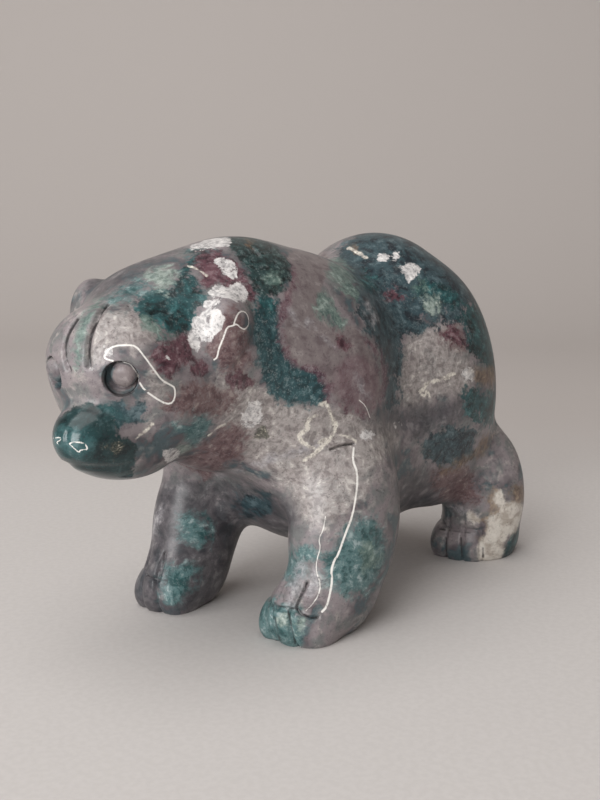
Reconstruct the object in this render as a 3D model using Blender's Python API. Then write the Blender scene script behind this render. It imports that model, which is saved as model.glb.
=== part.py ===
"""Jasper bear carving: one solid piece of polished stone standing on four feet.

The bear walks with its left hind leg stretched back and turns its head a
little to its own left. It faces -Y, its left side is +X, up is +Z, and the
origin is on the ground under the middle of the carving.

The form is a set of egg-shaped lumps that flow into one another, with the
eyes, brow folds, snout, mouth, toes and flank crease cut into it.
"""

import bmesh
import bpy
import numpy as np
from mathutils import Matrix, Vector

MM = 0.001

# The lumps are laid out from the bear's middle plane. The finished piece is
# moved by this much so that its origin is under the middle of its outline.
MIDDLE = (1.95, -5.55, 0.0)

# Every lump: centre, radii and the angle its front end is lowered by
# (millimetres and degrees). The body's middle plane is x = 0.
TORSO = {
    "chest": ((0.0, -8.0, 51.0), (21.0, 23.0, 21.0), 0.0),
    "hump": ((0.0, -22.5, 57.0), (15.5, 18.0, 16.5), 0.0),
    "belly": ((0.0, 9.5, 33.5), (20.5, 33.0, 24.0), 0.0),
    "rump": ((0.0, 23.5, 49.5), (20.5, 22.0, 25.0), 0.0),
}
NECK = ((1.0, -27.0, 52.5), (16.5, 21.0, 21.5), 0.0)
LEGS = {
    "front_left": (
        ((11.5, -14.0, 41.0), (10.5, 15.0, 18.5), 0.0),
        ((19.0, -12.5, 20.5), (9.0, 13.2, 19.5), -10.0),
        ((17.3, -18.0, 5.4), (7.6, 13.0, 8.0), 0.0),
    ),
    "front_right": (
        ((-13.5, -15.5, 41.5), (10.5, 14.5, 17.0), 0.0),
        ((-15.0, -17.5, 17.0), (8.0, 10.5, 17.5), -15.0),
        ((-14.5, -23.0, 5.5), (6.6, 9.5, 7.5), 0.0),
    ),
    "hind_left": (
        ((11.0, 31.0, 39.5), (12.0, 18.5, 26.0), 5.0),
        ((16.0, 45.5, 14.0), (9.5, 9.5, 16.5), 0.0),
        ((14.0, 47.0, 3.0), (8.5, 11.0, 6.5), 0.0),
    ),
    "hind_right": (
        ((-11.0, 30.5, 42.0), (12.0, 17.0, 20.0), 0.0),
        ((-15.0, 34.0, 19.5), (9.0, 11.0, 17.5), 0.0),
        ((-15.0, 30.0, 4.5), (9.0, 12.0, 7.5), 0.0),
    ),
}

# Toe row of each paw: its middle on the ground and outward turn, then how far
# each toe stands aside and back, and how far aside each groove is
TOE_ROWS = {
    "front_left": ((17.4, -24.3), 3.0),
    "front_right": ((-16.0, -27.4), 6.0),
    "hind_left": ((13.5, 39.9), 12.0),
    "hind_right": ((-15.0, 22.0), -6.0),
}
TOES = {
    "front_left": ((-5.4, 0.0), (0.0, 0.0), (4.2, 1.0)),
    "front_right": ((-3.7, 1.2), (0.0, 0.0), (4.8, 0.2)),
    "hind_left": ((-4.3, 1.0), (0.0, 0.0), (4.2, 0.9)),
    "hind_right": ((-4.2, 0.9), (0.0, 0.0), (4.3, 1.0)),
}
TOE_GROOVES = {
    "front_left": (-2.3, 2.1),
    "front_right": (-1.9, 2.4),
    "hind_left": (-2.1, 2.1, 6.2),
    "hind_right": (-2.1, 2.1),
}
TOE_RADII = (2.8, 4.6, 4.3)
TOE_HEIGHT = 3.0
TOE_DROOP = 12.0
TOE_GROOVE_WIDTH = 1.0
TOE_GROOVE_DEPTH = 0.8
KNUCKLE_WIDTH = 1.1
KNUCKLE_DEPTH = 0.7
DIGIT_TOP = 13.0
KNUCKLE_HEIGHT = 7.6

# Head frame: x to the bear's left, y rearward, z up
HEAD_AT = (-1.7, -41.5, 54.5)
HEAD_YAW = 13.5
HEAD_LIFT = 1.5
HEAD_LUMPS = {
    "skull": ((0.0, 3.0, 2.0), (16.0, 18.5, 15.0), 0.0),
    "brow": ((0.0, -14.0, 0.5), (11.8, 10.5, 10.0), 0.0),
    "jaw": ((0.0, -9.5, -13.7), (8.5, 12.5, 7.0), 0.0),
}
CHEEK = ((6.5, -4.0, -5.0), (8.5, 13.5, 9.5), 0.0)
SNOUT = ((0.0, -16.0, -11.5), (7.5, 12.0, 7.0), 0.0)
EARS = (
    ((15.1, -2.3, 4.7), (3.9, 5.0, 6.3), 0.0),
    ((-14.2, 0.3, 6.8), (3.9, 4.4, 6.4), 0.0),
)

# Eye: a ring drilled round a ball
EYE_AT = (6.6, -22.2, -1.3)
EYE_TURN = 18.0
EYE_DOWN = 10.0
EYE_SOCKET_RADIUS = 2.8
EYE_SOCKET_DEPTH = 2.0
EYE_BALL_RADIUS = 2.1
EYE_BALL_SUNK = 1.5
EYE_BALL_ASIDE = 0.25
EYE_BALL_RISE = 0.25
EYE_DRILL_RUN = 4.0
EYE_SEGMENTS = 24

# Folds between the brows, philtrum and mouth
BROW_FOLDS = (
    ((0.7, 10.0), (1.4, 7.5), (1.5, 5.2), (1.8, 2.9), (2.0, 0.6)),
    ((-2.5, 8.5), (-3.1, 5.6), (-3.3, 3.7), (-2.9, 1.7), (-2.1, -0.3)),
)
BROW_FOLD_WIDTH = 1.5
BROW_FOLD_DEPTH = 0.9
PHILTRUM = ((0.0, -9.8), (0.0, -13.6))
PHILTRUM_WIDTH = 0.9
PHILTRUM_DEPTH = 0.7
MOUTH = ((-29.0, -13.8), (-25.5, -15.8), (-20.0, -16.6), (-12.0, -14.6))
MOUTH_WIDTH = 1.0
MOUTH_DEPTH = 0.35
MOUTH_CORNER = -12.5

# Crease along the left flank
FLANK_CREASE = ((20.1, 4.4, 37.6), (20.8, 11.0, 37.9), (21.5, 17.5, 38.6))
FLANK_CREASE_WIDTH = 3.0
FLANK_CREASE_DEPTH = 0.45

# Widths over which lumps flow together
TORSO_BLEND = 8.0
NECK_BLEND = 6.0
LEG_BLEND = 5.0
PAW_BLEND = 4.0
TOE_BLEND = 1.5
SHOULDER_BLEND = 6.0
HEAD_BLEND = 4.5
SNOUT_BLEND = 2.5
EAR_BLEND = 2.2

# Mesh fineness
ROUGH_CELL = 0.9
TRIANGLE_TARGET = 8600
SETTLE_ROUNDS = 4

STONE_COLOUR = (0.17, 0.15, 0.155, 1.0)
STONE_ROUGHNESS = 0.22


def turned(yaw, pitch=0.0):
    """Axes of a frame turned to the bear's left and lowered at its front."""
    turn, drop = np.radians((yaw, pitch))
    about_up = np.array((
        (np.cos(turn), -np.sin(turn), 0.0),
        (np.sin(turn), np.cos(turn), 0.0),
        (0.0, 0.0, 1.0),
    ))
    about_side = np.array((
        (1.0, 0.0, 0.0),
        (0.0, np.cos(drop), -np.sin(drop)),
        (0.0, np.sin(drop), np.cos(drop)),
    ))
    return about_up @ about_side


def mirrored(lump):
    """The same lump on the other side of the middle plane."""
    (x, y, z), radii, droop = lump
    return (-x, y, z), radii, droop


def egg(points, lump, yaw=0.0):
    """Distance from points to an egg-shaped lump, negative inside."""
    centre, radii, droop = lump
    local = (points - np.array(centre)) @ turned(yaw, droop)
    reach = np.linalg.norm(local / radii, axis=1)
    slope = np.linalg.norm(local / np.square(radii), axis=1)
    return reach * (reach - 1.0) / np.maximum(slope, 1e-9)


def joined(first, second, width):
    """Union of two distances that flows together over a width."""
    near = np.maximum(width - np.abs(first - second), 0.0) / width
    return np.minimum(first, second) - near * near * width / 4.0


def bump(distance, width):
    """A soft stroke profile: one on its line, nothing past its width."""
    share = np.clip(1.0 - np.abs(distance) / width, 0.0, 1.0)
    return share * share * (3.0 - 2.0 * share)


def ramp(value, start, end):
    """Rise from nothing at start to one at end."""
    share = np.clip((value - start) / (end - start), 0.0, 1.0)
    return share * share * (3.0 - 2.0 * share)


def path_distance(points, path):
    """Distance from points to a path of straight pieces, in any dimension."""
    nearest = np.full(len(points), np.inf)
    for start, end in zip(path[:-1], path[1:]):
        start = np.array(start)
        along = np.array(end) - start
        share = np.clip((points - start) @ along / (along @ along), 0.0, 1.0)
        gap = points - start - share[:, None] * along
        nearest = np.minimum(nearest, np.linalg.norm(gap, axis=1))
    return nearest


def torso_distance(points):
    """Chest, hump, belly and rump, with the neck running forward."""
    lumps = list(TORSO.values())
    distance = egg(points, lumps[0])
    for lump in lumps[1:]:
        distance = joined(distance, egg(points, lump), TORSO_BLEND)
    return joined(distance, egg(points, NECK), NECK_BLEND)


def toe_centres(leg):
    """Centres of the three toes of one paw."""
    (x, y), yaw = TOE_ROWS[leg]
    axes = turned(yaw)
    middle = np.array((x, y, TOE_HEIGHT))
    return [tuple(middle + axes @ np.array((aside, back, 0.0)))
            for aside, back in TOES[leg]]


def leg_distance(points, leg):
    """One leg from shoulder or hip to its toes."""
    upper, lower, paw = LEGS[leg]
    distance = joined(egg(points, upper), egg(points, lower), LEG_BLEND)
    distance = joined(distance, egg(points, paw), PAW_BLEND)
    yaw = TOE_ROWS[leg][1]
    for centre in toe_centres(leg):
        toe = egg(points, (centre, TOE_RADII, TOE_DROOP), yaw)
        distance = joined(distance, toe, TOE_BLEND)
    return distance + paw_cuts(points, leg)


def paw_cuts(points, leg):
    """Depth of the cuts between the toes and across the knuckles."""
    (x, y), yaw = TOE_ROWS[leg]
    local = (points - np.array((x, y, 0.0))) @ turned(yaw)
    side, back, height = local.T
    front = 1.0 - ramp(back, 1.0, 4.5)
    low = 1.0 - ramp(height, DIGIT_TOP - 4.0, DIGIT_TOP)
    cuts = sum(bump(side - aside, TOE_GROOVE_WIDTH) for aside in TOE_GROOVES[leg])
    first, last = TOES[leg][0][0], TOES[leg][-1][0]
    across = ramp(side, first - 3.0, first - 1.0) * (1.0 - ramp(side, last + 1.0, last + 3.0))
    knuckle = bump(height - KNUCKLE_HEIGHT, KNUCKLE_WIDTH) * across
    near = ramp(-egg(points, LEGS[leg][2]), -6.0, -4.0)
    return near * front * (TOE_GROOVE_DEPTH * cuts * low + KNUCKLE_DEPTH * knuckle)


def head_points(points):
    """Points seen in the head's own frame."""
    return (points - np.array(HEAD_AT)) @ turned(HEAD_YAW, -HEAD_LIFT)


def head_distance(points):
    """Skull, brow, jaw, cheeks, snout and ears."""
    local = head_points(points)
    lumps = list(HEAD_LUMPS.values()) + [CHEEK, mirrored(CHEEK)]
    distance = egg(local, lumps[0])
    for lump in lumps[1:]:
        distance = joined(distance, egg(local, lump), HEAD_BLEND)
    distance = joined(distance, egg(local, SNOUT), SNOUT_BLEND)
    for ear in EARS:
        distance = joined(distance, egg(local, ear), EAR_BLEND)
    return distance


def face_cuts(points):
    """Depth of the brow folds, philtrum and mouth."""
    x, y, z = head_points(points).T
    front = ramp(-y, 8.0, 14.0)
    face = np.stack((x, z), axis=1)
    folds = sum(bump(path_distance(face, fold), BROW_FOLD_WIDTH) for fold in BROW_FOLDS)
    lip = bump(path_distance(face, PHILTRUM), PHILTRUM_WIDTH)
    side = np.stack((y, z), axis=1)
    mouth = bump(path_distance(side, MOUTH), MOUTH_WIDTH)
    return front * (
        BROW_FOLD_DEPTH * folds
        + PHILTRUM_DEPTH * lip * ramp(-y, 22.0, 24.0)
        + MOUTH_DEPTH * mouth * ramp(-y, -MOUTH_CORNER, 5.0 - MOUTH_CORNER)
    )


def bear_distance(points):
    """Distance to the whole bear's surface, negative inside the stone."""
    distance = torso_distance(points)
    for leg in LEGS:
        distance = joined(distance, leg_distance(points, leg), SHOULDER_BLEND)
    distance = joined(distance, head_distance(points), 5.0)
    crease = bump(path_distance(points, FLANK_CREASE), FLANK_CREASE_WIDTH)
    return distance + face_cuts(points) + FLANK_CREASE_DEPTH * crease


def slope_at(points, step=0.05):
    """Gradient of the bear's distance."""
    columns = []
    for axis in np.eye(3):
        ahead = bear_distance(points + axis * step)
        behind = bear_distance(points - axis * step)
        columns.append((ahead - behind) / (2.0 * step))
    return np.stack(columns, axis=1)


def settled(points, rounds):
    """Move points along the slope until they lie on the surface."""
    for _ in range(rounds):
        slope = slope_at(points)
        steep = np.maximum((slope * slope).sum(axis=1), 0.25)
        shift = bear_distance(points) / steep
        shift = np.clip(shift, -1.0, 1.0)
        points = points - slope * shift[:, None]
    return points


def add_lump(mesh, lump, frame=Matrix.Identity(4), yaw=0.0):
    """Add one egg-shaped lump as a scaled ball."""
    centre, radii, droop = lump
    place = Matrix.Translation(Vector(centre) * MM)
    turn = Matrix(turned(yaw, droop).tolist()).to_4x4()
    size = Matrix.Diagonal(Vector(radii) * MM).to_4x4()
    bmesh.ops.create_icosphere(
        mesh, subdivisions=4, radius=1.0, matrix=frame @ place @ turn @ size)


def head_frame():
    """The head's frame as a matrix in metres."""
    turn = Matrix(turned(HEAD_YAW, -HEAD_LIFT).tolist()).to_4x4()
    return Matrix.Translation(Vector(HEAD_AT) * MM) @ turn


def rough_bear():
    """All the lumps of the bear in one overlapping mesh."""
    mesh = bmesh.new()
    for lump in list(TORSO.values()) + [NECK]:
        add_lump(mesh, lump)
    for leg, lumps in LEGS.items():
        for lump in lumps:
            add_lump(mesh, lump)
        for centre in toe_centres(leg):
            add_lump(mesh, (centre, TOE_RADII, TOE_DROOP), yaw=TOE_ROWS[leg][1])
    head = [*HEAD_LUMPS.values(), CHEEK, mirrored(CHEEK), SNOUT, *EARS]
    for lump in head:
        add_lump(mesh, lump, frame=head_frame())
    return mesh


def new_object(name, mesh):
    """Put a finished bmesh into the scene under a name."""
    data = bpy.data.meshes.new(name)
    mesh.to_mesh(data)
    mesh.free()
    item = bpy.data.objects.new(name, data)
    bpy.context.collection.objects.link(item)
    return item


def bake_modifiers(item):
    """Replace an object's mesh by the result of its modifiers."""
    graph = bpy.context.evaluated_depsgraph_get()
    baked = bpy.data.meshes.new_from_object(item.evaluated_get(graph))
    item.modifiers.clear()
    old = item.data
    item.data = baked
    bpy.data.meshes.remove(old)


def fuse(item):
    """Fuse the overlapping lumps into one closed skin of even cells."""
    remesh = item.modifiers.new("fuse", "REMESH")
    remesh.mode = "VOXEL"
    remesh.voxel_size = ROUGH_CELL * MM
    bake_modifiers(item)


def carve(item):
    """Ease the skin and bring it onto the carved surface."""
    for turn in range(SETTLE_ROUNDS):
        mesh = bmesh.new()
        mesh.from_mesh(item.data)
        bmesh.ops.smooth_vert(
            mesh, verts=mesh.verts, factor=0.5,
            use_axis_x=True, use_axis_y=True, use_axis_z=True)
        mesh.to_mesh(item.data)
        mesh.free()
        places = np.empty(len(item.data.vertices) * 3)
        item.data.vertices.foreach_get("co", places)
        points = settled(places.reshape(-1, 3) / MM, 3)
        item.data.vertices.foreach_set("co", (points * MM).ravel())
    item.data.update()


def lighten(item):
    """Bring the skin down to the wanted number of triangles."""
    count = sum(len(face.vertices) - 2 for face in item.data.polygons)
    decimate = item.modifiers.new("lighten", "DECIMATE")
    decimate.ratio = TRIANGLE_TARGET / count
    decimate.use_collapse_triangulate = True
    bake_modifiers(item)


def eye_frame(side):
    """Frame of one eye: its own -Y points out of the face along the drill."""
    x, y, z = EYE_AT
    turn = Matrix(turned(side * EYE_TURN, EYE_DOWN).tolist()).to_4x4()
    return head_frame() @ Matrix.Translation(Vector((side * x, y, z)) * MM) @ turn


def socket_tool(side):
    """Drill that sinks a round socket."""
    mesh = bmesh.new()
    length = EYE_SOCKET_DEPTH + EYE_DRILL_RUN
    lay_down = Matrix.Rotation(np.radians(90.0), 4, "X")
    shift = Matrix.Translation(Vector((0.0, EYE_SOCKET_DEPTH - length / 2.0, 0.0)) * MM)
    bmesh.ops.create_cone(
        mesh, cap_ends=True, segments=EYE_SEGMENTS,
        radius1=EYE_SOCKET_RADIUS * MM, radius2=EYE_SOCKET_RADIUS * MM,
        depth=length * MM, matrix=eye_frame(side) @ shift @ lay_down)
    return new_object("eye_socket_tool", mesh)


def eye_ball(side):
    """Ball left standing in the socket."""
    mesh = bmesh.new()
    lay_down = Matrix.Rotation(np.radians(90.0), 4, "X")
    place = Vector((side * EYE_BALL_ASIDE, EYE_BALL_SUNK, EYE_BALL_RISE))
    shift = Matrix.Translation(place * MM)
    bmesh.ops.create_uvsphere(
        mesh, u_segments=EYE_SEGMENTS, v_segments=EYE_SEGMENTS // 2,
        radius=EYE_BALL_RADIUS * MM, matrix=eye_frame(side) @ shift @ lay_down)
    return new_object("eye_ball_tool", mesh)


def combine(item, tool, operation):
    """Apply one exact Boolean and remove its tool."""
    boolean = item.modifiers.new("combine", "BOOLEAN")
    boolean.solver = "EXACT"
    boolean.operation = operation
    boolean.object = tool
    bake_modifiers(item)
    bpy.data.objects.remove(tool)


def set_eyes(item):
    """Drill a ring round a ball for each eye."""
    for side in (1, -1):
        combine(item, socket_tool(side), "DIFFERENCE")
        combine(item, eye_ball(side), "UNION")


def flatten_soles(item):
    """Cut the feet off level with the ground and close them flat."""
    mesh = bmesh.new()
    mesh.from_mesh(item.data)
    bmesh.ops.bisect_plane(
        mesh, geom=mesh.verts[:] + mesh.edges[:] + mesh.faces[:], dist=1e-6,
        plane_co=(0.0, 0.0, 0.0), plane_no=(0.0, 0.0, 1.0), clear_inner=True)
    rim = [edge for edge in mesh.edges if edge.is_boundary]
    bmesh.ops.holes_fill(mesh, edges=rim, sides=0)
    bmesh.ops.recalc_face_normals(mesh, faces=mesh.faces)
    mesh.to_mesh(item.data)
    mesh.free()


def keep_largest(item):
    """Drop slivers that the level cut leaves beside a toe."""
    mesh = bmesh.new()
    mesh.from_mesh(item.data)
    left = set(mesh.verts)
    pieces = []
    while left:
        piece = {left.pop()}
        waiting = list(piece)
        while waiting:
            corner = waiting.pop()
            for edge in corner.link_edges:
                other = edge.other_vert(corner)
                if other in left:
                    left.discard(other)
                    piece.add(other)
                    waiting.append(other)
        pieces.append(piece)
    pieces.sort(key=len)
    slivers = [corner for piece in pieces[:-1] for corner in piece]
    bmesh.ops.delete(mesh, geom=slivers, context="VERTS")
    mesh.to_mesh(item.data)
    mesh.free()


def centre(item):
    """Move the piece so that its origin is under its middle."""
    item.data.transform(Matrix.Translation(-Vector(MIDDLE) * MM))


def stone():
    """Polished jasper."""
    material = bpy.data.materials.new("jasper")
    material.use_nodes = True
    shader = material.node_tree.nodes["Principled BSDF"]
    shader.inputs["Base Color"].default_value = STONE_COLOUR
    shader.inputs["Roughness"].default_value = STONE_ROUGHNESS
    shader.inputs["Metallic"].default_value = 0.0
    return material


def build():
    """Make the bear."""
    for item in list(bpy.data.objects):
        bpy.data.objects.remove(item)
    bear = new_object("bear", rough_bear())
    fuse(bear)
    carve(bear)
    lighten(bear)
    set_eyes(bear)
    flatten_soles(bear)
    keep_largest(bear)
    centre(bear)
    bear.data.materials.clear()
    bear.data.materials.append(stone())
    bear.data.shade_smooth()
    bear.data.set_sharp_from_angle(angle=np.radians(50.0))


build()
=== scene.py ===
"""Jasper bear carving: one piece of polished stone standing on its four feet.

The bear walks with its left hind leg stretched back and turns its head a
little to its own left. The carving is worked out in millimetres from the same
named lumps as its solid, cut finer, and dressed with the minerals of the
stone, with painted shade in its grooves and painted highlights on it. Outlines
named in pixels belong to the photograph's 600 x 800 frame.
"""

from __future__ import annotations

import logging
import math
from dataclasses import dataclass
from enum import Enum
from typing import Iterable, Sequence

import bmesh
import bpy
import numpy as np
from mathutils import Matrix, Vector
from mathutils.bvhtree import BVHTree
from mathutils.kdtree import KDTree


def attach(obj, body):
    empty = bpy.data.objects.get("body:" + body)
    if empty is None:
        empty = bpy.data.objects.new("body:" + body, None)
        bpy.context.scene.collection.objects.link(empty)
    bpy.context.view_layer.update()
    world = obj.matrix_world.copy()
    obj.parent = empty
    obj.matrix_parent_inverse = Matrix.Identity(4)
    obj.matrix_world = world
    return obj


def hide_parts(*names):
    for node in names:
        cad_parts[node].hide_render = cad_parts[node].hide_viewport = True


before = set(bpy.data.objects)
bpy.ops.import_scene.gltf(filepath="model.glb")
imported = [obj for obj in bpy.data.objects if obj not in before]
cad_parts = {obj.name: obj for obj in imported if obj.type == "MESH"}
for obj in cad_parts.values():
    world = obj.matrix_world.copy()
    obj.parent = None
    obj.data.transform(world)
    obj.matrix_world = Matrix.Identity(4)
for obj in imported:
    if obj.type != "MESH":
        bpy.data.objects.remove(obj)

MM = 0.001
LOG = logging.getLogger("jasper_bear")

Triple = tuple[float, float, float]
Pair = tuple[float, float]


def turned(yaw: float, pitch: float = 0.0) -> np.ndarray:
    """Give the axes of a frame turned to the bear's left.

    Args:
        yaw: Turn of its front to the bear's left, in degrees.
        pitch: How far its front is lowered, in degrees.

    Returns:
        A 3 x 3 matrix whose columns are the frame's axes.
    """
    turn, drop = np.radians((yaw, pitch))
    about_up = np.array((
        (np.cos(turn), -np.sin(turn), 0.0),
        (np.sin(turn), np.cos(turn), 0.0),
        (0.0, 0.0, 1.0),
    ))
    about_side = np.array((
        (1.0, 0.0, 0.0),
        (0.0, np.cos(drop), -np.sin(drop)),
        (0.0, np.sin(drop), np.cos(drop)),
    ))
    return about_up @ about_side


def joined(first: np.ndarray, second: np.ndarray, width: float) -> np.ndarray:
    """Unite two distances so that they flow together over a width.

    Args:
        first: Distances to one form.
        second: Distances to another form.
        width: Width of the blend in millimetres.

    Returns:
        The distances to the united form.
    """
    near = np.maximum(width - np.abs(first - second), 0.0) / width
    return np.minimum(first, second) - near * near * width / 4.0


def bump(distance: np.ndarray, width: float) -> np.ndarray:
    """Give a soft profile that is one on a line and nothing past a width.

    Args:
        distance: Distances from the line.
        width: Half width of the profile.

    Returns:
        Heights from nothing to one.
    """
    share = np.clip(1.0 - np.abs(distance) / width, 0.0, 1.0)
    return share * share * (3.0 - 2.0 * share)


def ramp(value: np.ndarray, start: float, end: float) -> np.ndarray:
    """Rise softly from nothing at start to one at end.

    Args:
        value: The running value.
        start: Where the rise begins.
        end: Where it is complete.

    Returns:
        Shares from nothing to one.
    """
    share = np.clip((value - start) / (end - start), 0.0, 1.0)
    return share * share * (3.0 - 2.0 * share)


def path_distance(points: np.ndarray, path: Sequence[Sequence[float]]) -> np.ndarray:
    """Measure the distance from points to a path of straight pieces.

    Args:
        points: Points, one a row, in any dimension.
        path: Corners of the path.

    Returns:
        One distance for each point.
    """
    nearest = np.full(len(points), np.inf)
    for start, end in zip(path[:-1], path[1:]):
        start = np.array(start)
        along = np.array(end) - start
        share = np.clip((points - start) @ along / (along @ along), 0.0, 1.0)
        gap = points - start - share[:, None] * along
        nearest = np.minimum(nearest, np.linalg.norm(gap, axis=1))
    return nearest


def ring_distance(points: np.ndarray, ring: np.ndarray) -> np.ndarray:
    """Measure the distance from flat points to a closed ring.

    Args:
        points: Flat points, one a row.
        ring: Corners of the ring, one a row.

    Returns:
        One distance for each point, negative inside the ring.
    """
    across, up = points.T
    inside = np.zeros(len(points), bool)
    for (x0, y0), (x1, y1) in zip(ring, np.roll(ring, -1, axis=0)):
        spans = (y0 > up) != (y1 > up)
        inside ^= spans & (across < x0 + (up - y0) * (x1 - x0) / ((y1 - y0) or 1e-9))
    away = path_distance(points, [*ring, ring[0]])
    return np.where(inside, -away, away)


@dataclass(frozen=True)
class Lump:
    """One egg-shaped lump: centre, radii and how far its front is lowered."""

    centre: Triple
    radii: Triple
    droop: float = 0.0

    def distance(self, points: np.ndarray, yaw: float = 0.0) -> np.ndarray:
        """Measure the distance to the lump, negative inside.

        Args:
            points: Points in millimetres, one a row.
            yaw: Turn of the lump to the bear's left, in degrees.

        Returns:
            One distance for each point.
        """
        local = (points - np.array(self.centre)) @ turned(yaw, self.droop)
        reach = np.linalg.norm(local / self.radii, axis=1)
        slope = np.linalg.norm(local / np.square(self.radii), axis=1)
        return reach * (reach - 1.0) / np.maximum(slope, 1e-9)

    def mirrored(self) -> Lump:
        """Give the same lump on the other side of the middle plane."""
        x, y, z = self.centre
        return Lump((-x, y, z), self.radii, self.droop)

    def add_to(self, mesh: bmesh.types.BMesh, place: Matrix, yaw: float = 0.0) -> None:
        """Add the lump to a mesh as a scaled ball.

        Args:
            mesh: The mesh that takes it.
            place: The frame that it stands in.
            yaw: Turn of the lump to the bear's left, in degrees.
        """
        spot = Matrix.Translation(Vector(self.centre) * MM)
        turn = Matrix(turned(yaw, self.droop).tolist()).to_4x4()
        size = Matrix.Diagonal(Vector(self.radii) * MM).to_4x4()
        bmesh.ops.create_icosphere(
            mesh, subdivisions=4, radius=1.0, matrix=place @ spot @ turn @ size)


@dataclass(frozen=True)
class Torso:
    """Chest, hump, belly and rump, with the neck running forward."""

    chest: Lump = Lump((0.0, -8.0, 51.0), (21.0, 23.0, 21.0))
    hump: Lump = Lump((0.0, -22.5, 57.0), (15.5, 18.0, 16.5))
    belly: Lump = Lump((0.0, 9.5, 33.5), (20.5, 33.0, 24.0))
    rump: Lump = Lump((0.0, 23.5, 49.5), (20.5, 22.0, 25.0))
    neck: Lump = Lump((1.0, -27.0, 52.5), (16.5, 21.0, 21.5))
    blend: float = 8.0
    neck_blend: float = 6.0
    crease: tuple[Triple, ...] = ((20.1, 4.4, 37.6), (20.8, 11.0, 37.9), (21.5, 17.5, 38.6))
    crease_width: float = 3.0
    crease_depth: float = 0.45

    def lumps(self) -> list[Lump]:
        """Give the torso's own lumps in order."""
        return [self.chest, self.hump, self.belly, self.rump]

    def distance(self, points: np.ndarray) -> np.ndarray:
        """Measure the distance to the torso, negative inside.

        Args:
            points: Points in millimetres, one a row.

        Returns:
            One distance for each point.
        """
        first, *others = self.lumps()
        distance = first.distance(points)
        for lump in others:
            distance = joined(distance, lump.distance(points), self.blend)
        return joined(distance, self.neck.distance(points), self.neck_blend)

    def cut(self, points: np.ndarray) -> np.ndarray:
        """Give the depth of the crease along the flank.

        Args:
            points: Points in millimetres, one a row.

        Returns:
            One depth for each point.
        """
        away = path_distance(points, self.crease)
        return self.crease_depth * bump(away, self.crease_width)

    def add_to(self, mesh: bmesh.types.BMesh) -> None:
        """Add the torso's lumps to a mesh."""
        for lump in [*self.lumps(), self.neck]:
            lump.add_to(mesh, Matrix.Identity(4))


@dataclass(frozen=True)
class Paw:
    """A row of toes: its middle, turn, each toe's place and each groove's."""

    middle: Pair
    yaw: float
    spots: tuple[Pair, ...]
    grooves: tuple[float, ...]
    radii: Triple = (2.8, 4.6, 4.3)
    height: float = 3.0
    droop: float = 12.0
    blend: float = 2.0
    row_blend: float = 3.6
    digit_top: float = 13.5
    knuckle: float = 7.7
    groove_width: float = 0.75
    groove_depth: float = 0.55
    knuckle_width: float = 0.80
    knuckle_depth: float = 0.55

    def local(self, points: np.ndarray) -> np.ndarray:
        """See points from the middle of the toe row.

        Args:
            points: Points in millimetres, one a row.

        Returns:
            The points as side, back and height.
        """
        return (points - np.array((*self.middle, 0.0))) @ turned(self.yaw)

    def toes(self) -> list[Lump]:
        """Give the toes."""
        middle = np.array((*self.middle, self.height))
        spots = [middle + turned(self.yaw) @ np.array((aside, back, 0.0))
                 for aside, back in self.spots]
        return [Lump(tuple(spot), self.radii, self.droop) for spot in spots]

    def cut(self, points: np.ndarray, pad: Lump) -> np.ndarray:
        """Give the depth of the cuts between toes and across the knuckles.

        Args:
            points: Points in millimetres, one a row.
            pad: The lump that the toes grow from.

        Returns:
            One depth for each point.
        """
        side, back, height = self.local(points).T
        front = 1.0 - ramp(back, 1.0, 4.5)
        low = 1.0 - ramp(height, self.digit_top - 4.0, self.digit_top)
        grooves = sum(bump(side - aside, self.groove_width) for aside in self.grooves)
        first, last = self.spots[0][0], self.spots[-1][0]
        across = ramp(side, first - 3.0, first - 1.0)
        across = across * (1.0 - ramp(side, last + 1.0, last + 3.0))
        knuckle = bump(height - self.knuckle, self.knuckle_width) * across
        near = ramp(-pad.distance(points), -6.0, -4.0)
        return near * front * (
            self.groove_depth * grooves * low + self.knuckle_depth * knuckle)


@dataclass(frozen=True)
class Leg:
    """One leg: its upper and lower lumps, its pad and its paw."""

    upper: Lump
    lower: Lump
    pad: Lump
    paw: Paw
    blend: float = 5.0
    pad_blend: float = 4.0

    def distance(self, points: np.ndarray) -> np.ndarray:
        """Measure the distance to the leg, negative inside.

        Args:
            points: Points in millimetres, one a row.

        Returns:
            One distance for each point.
        """
        distance = joined(self.upper.distance(points), self.lower.distance(points),
                          self.blend)
        distance = joined(distance, self.pad.distance(points), self.pad_blend)
        first, *others = self.paw.toes()
        row = first.distance(points, self.paw.yaw)
        for toe in others:
            row = joined(row, toe.distance(points, self.paw.yaw), self.paw.row_blend)
        return joined(distance, row, self.paw.blend)

    def add_to(self, mesh: bmesh.types.BMesh) -> None:
        """Add the leg's lumps and toes to a mesh."""
        for lump in (self.upper, self.lower, self.pad):
            lump.add_to(mesh, Matrix.Identity(4))
        for toe in self.paw.toes():
            toe.add_to(mesh, Matrix.Identity(4), self.paw.yaw)


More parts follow.
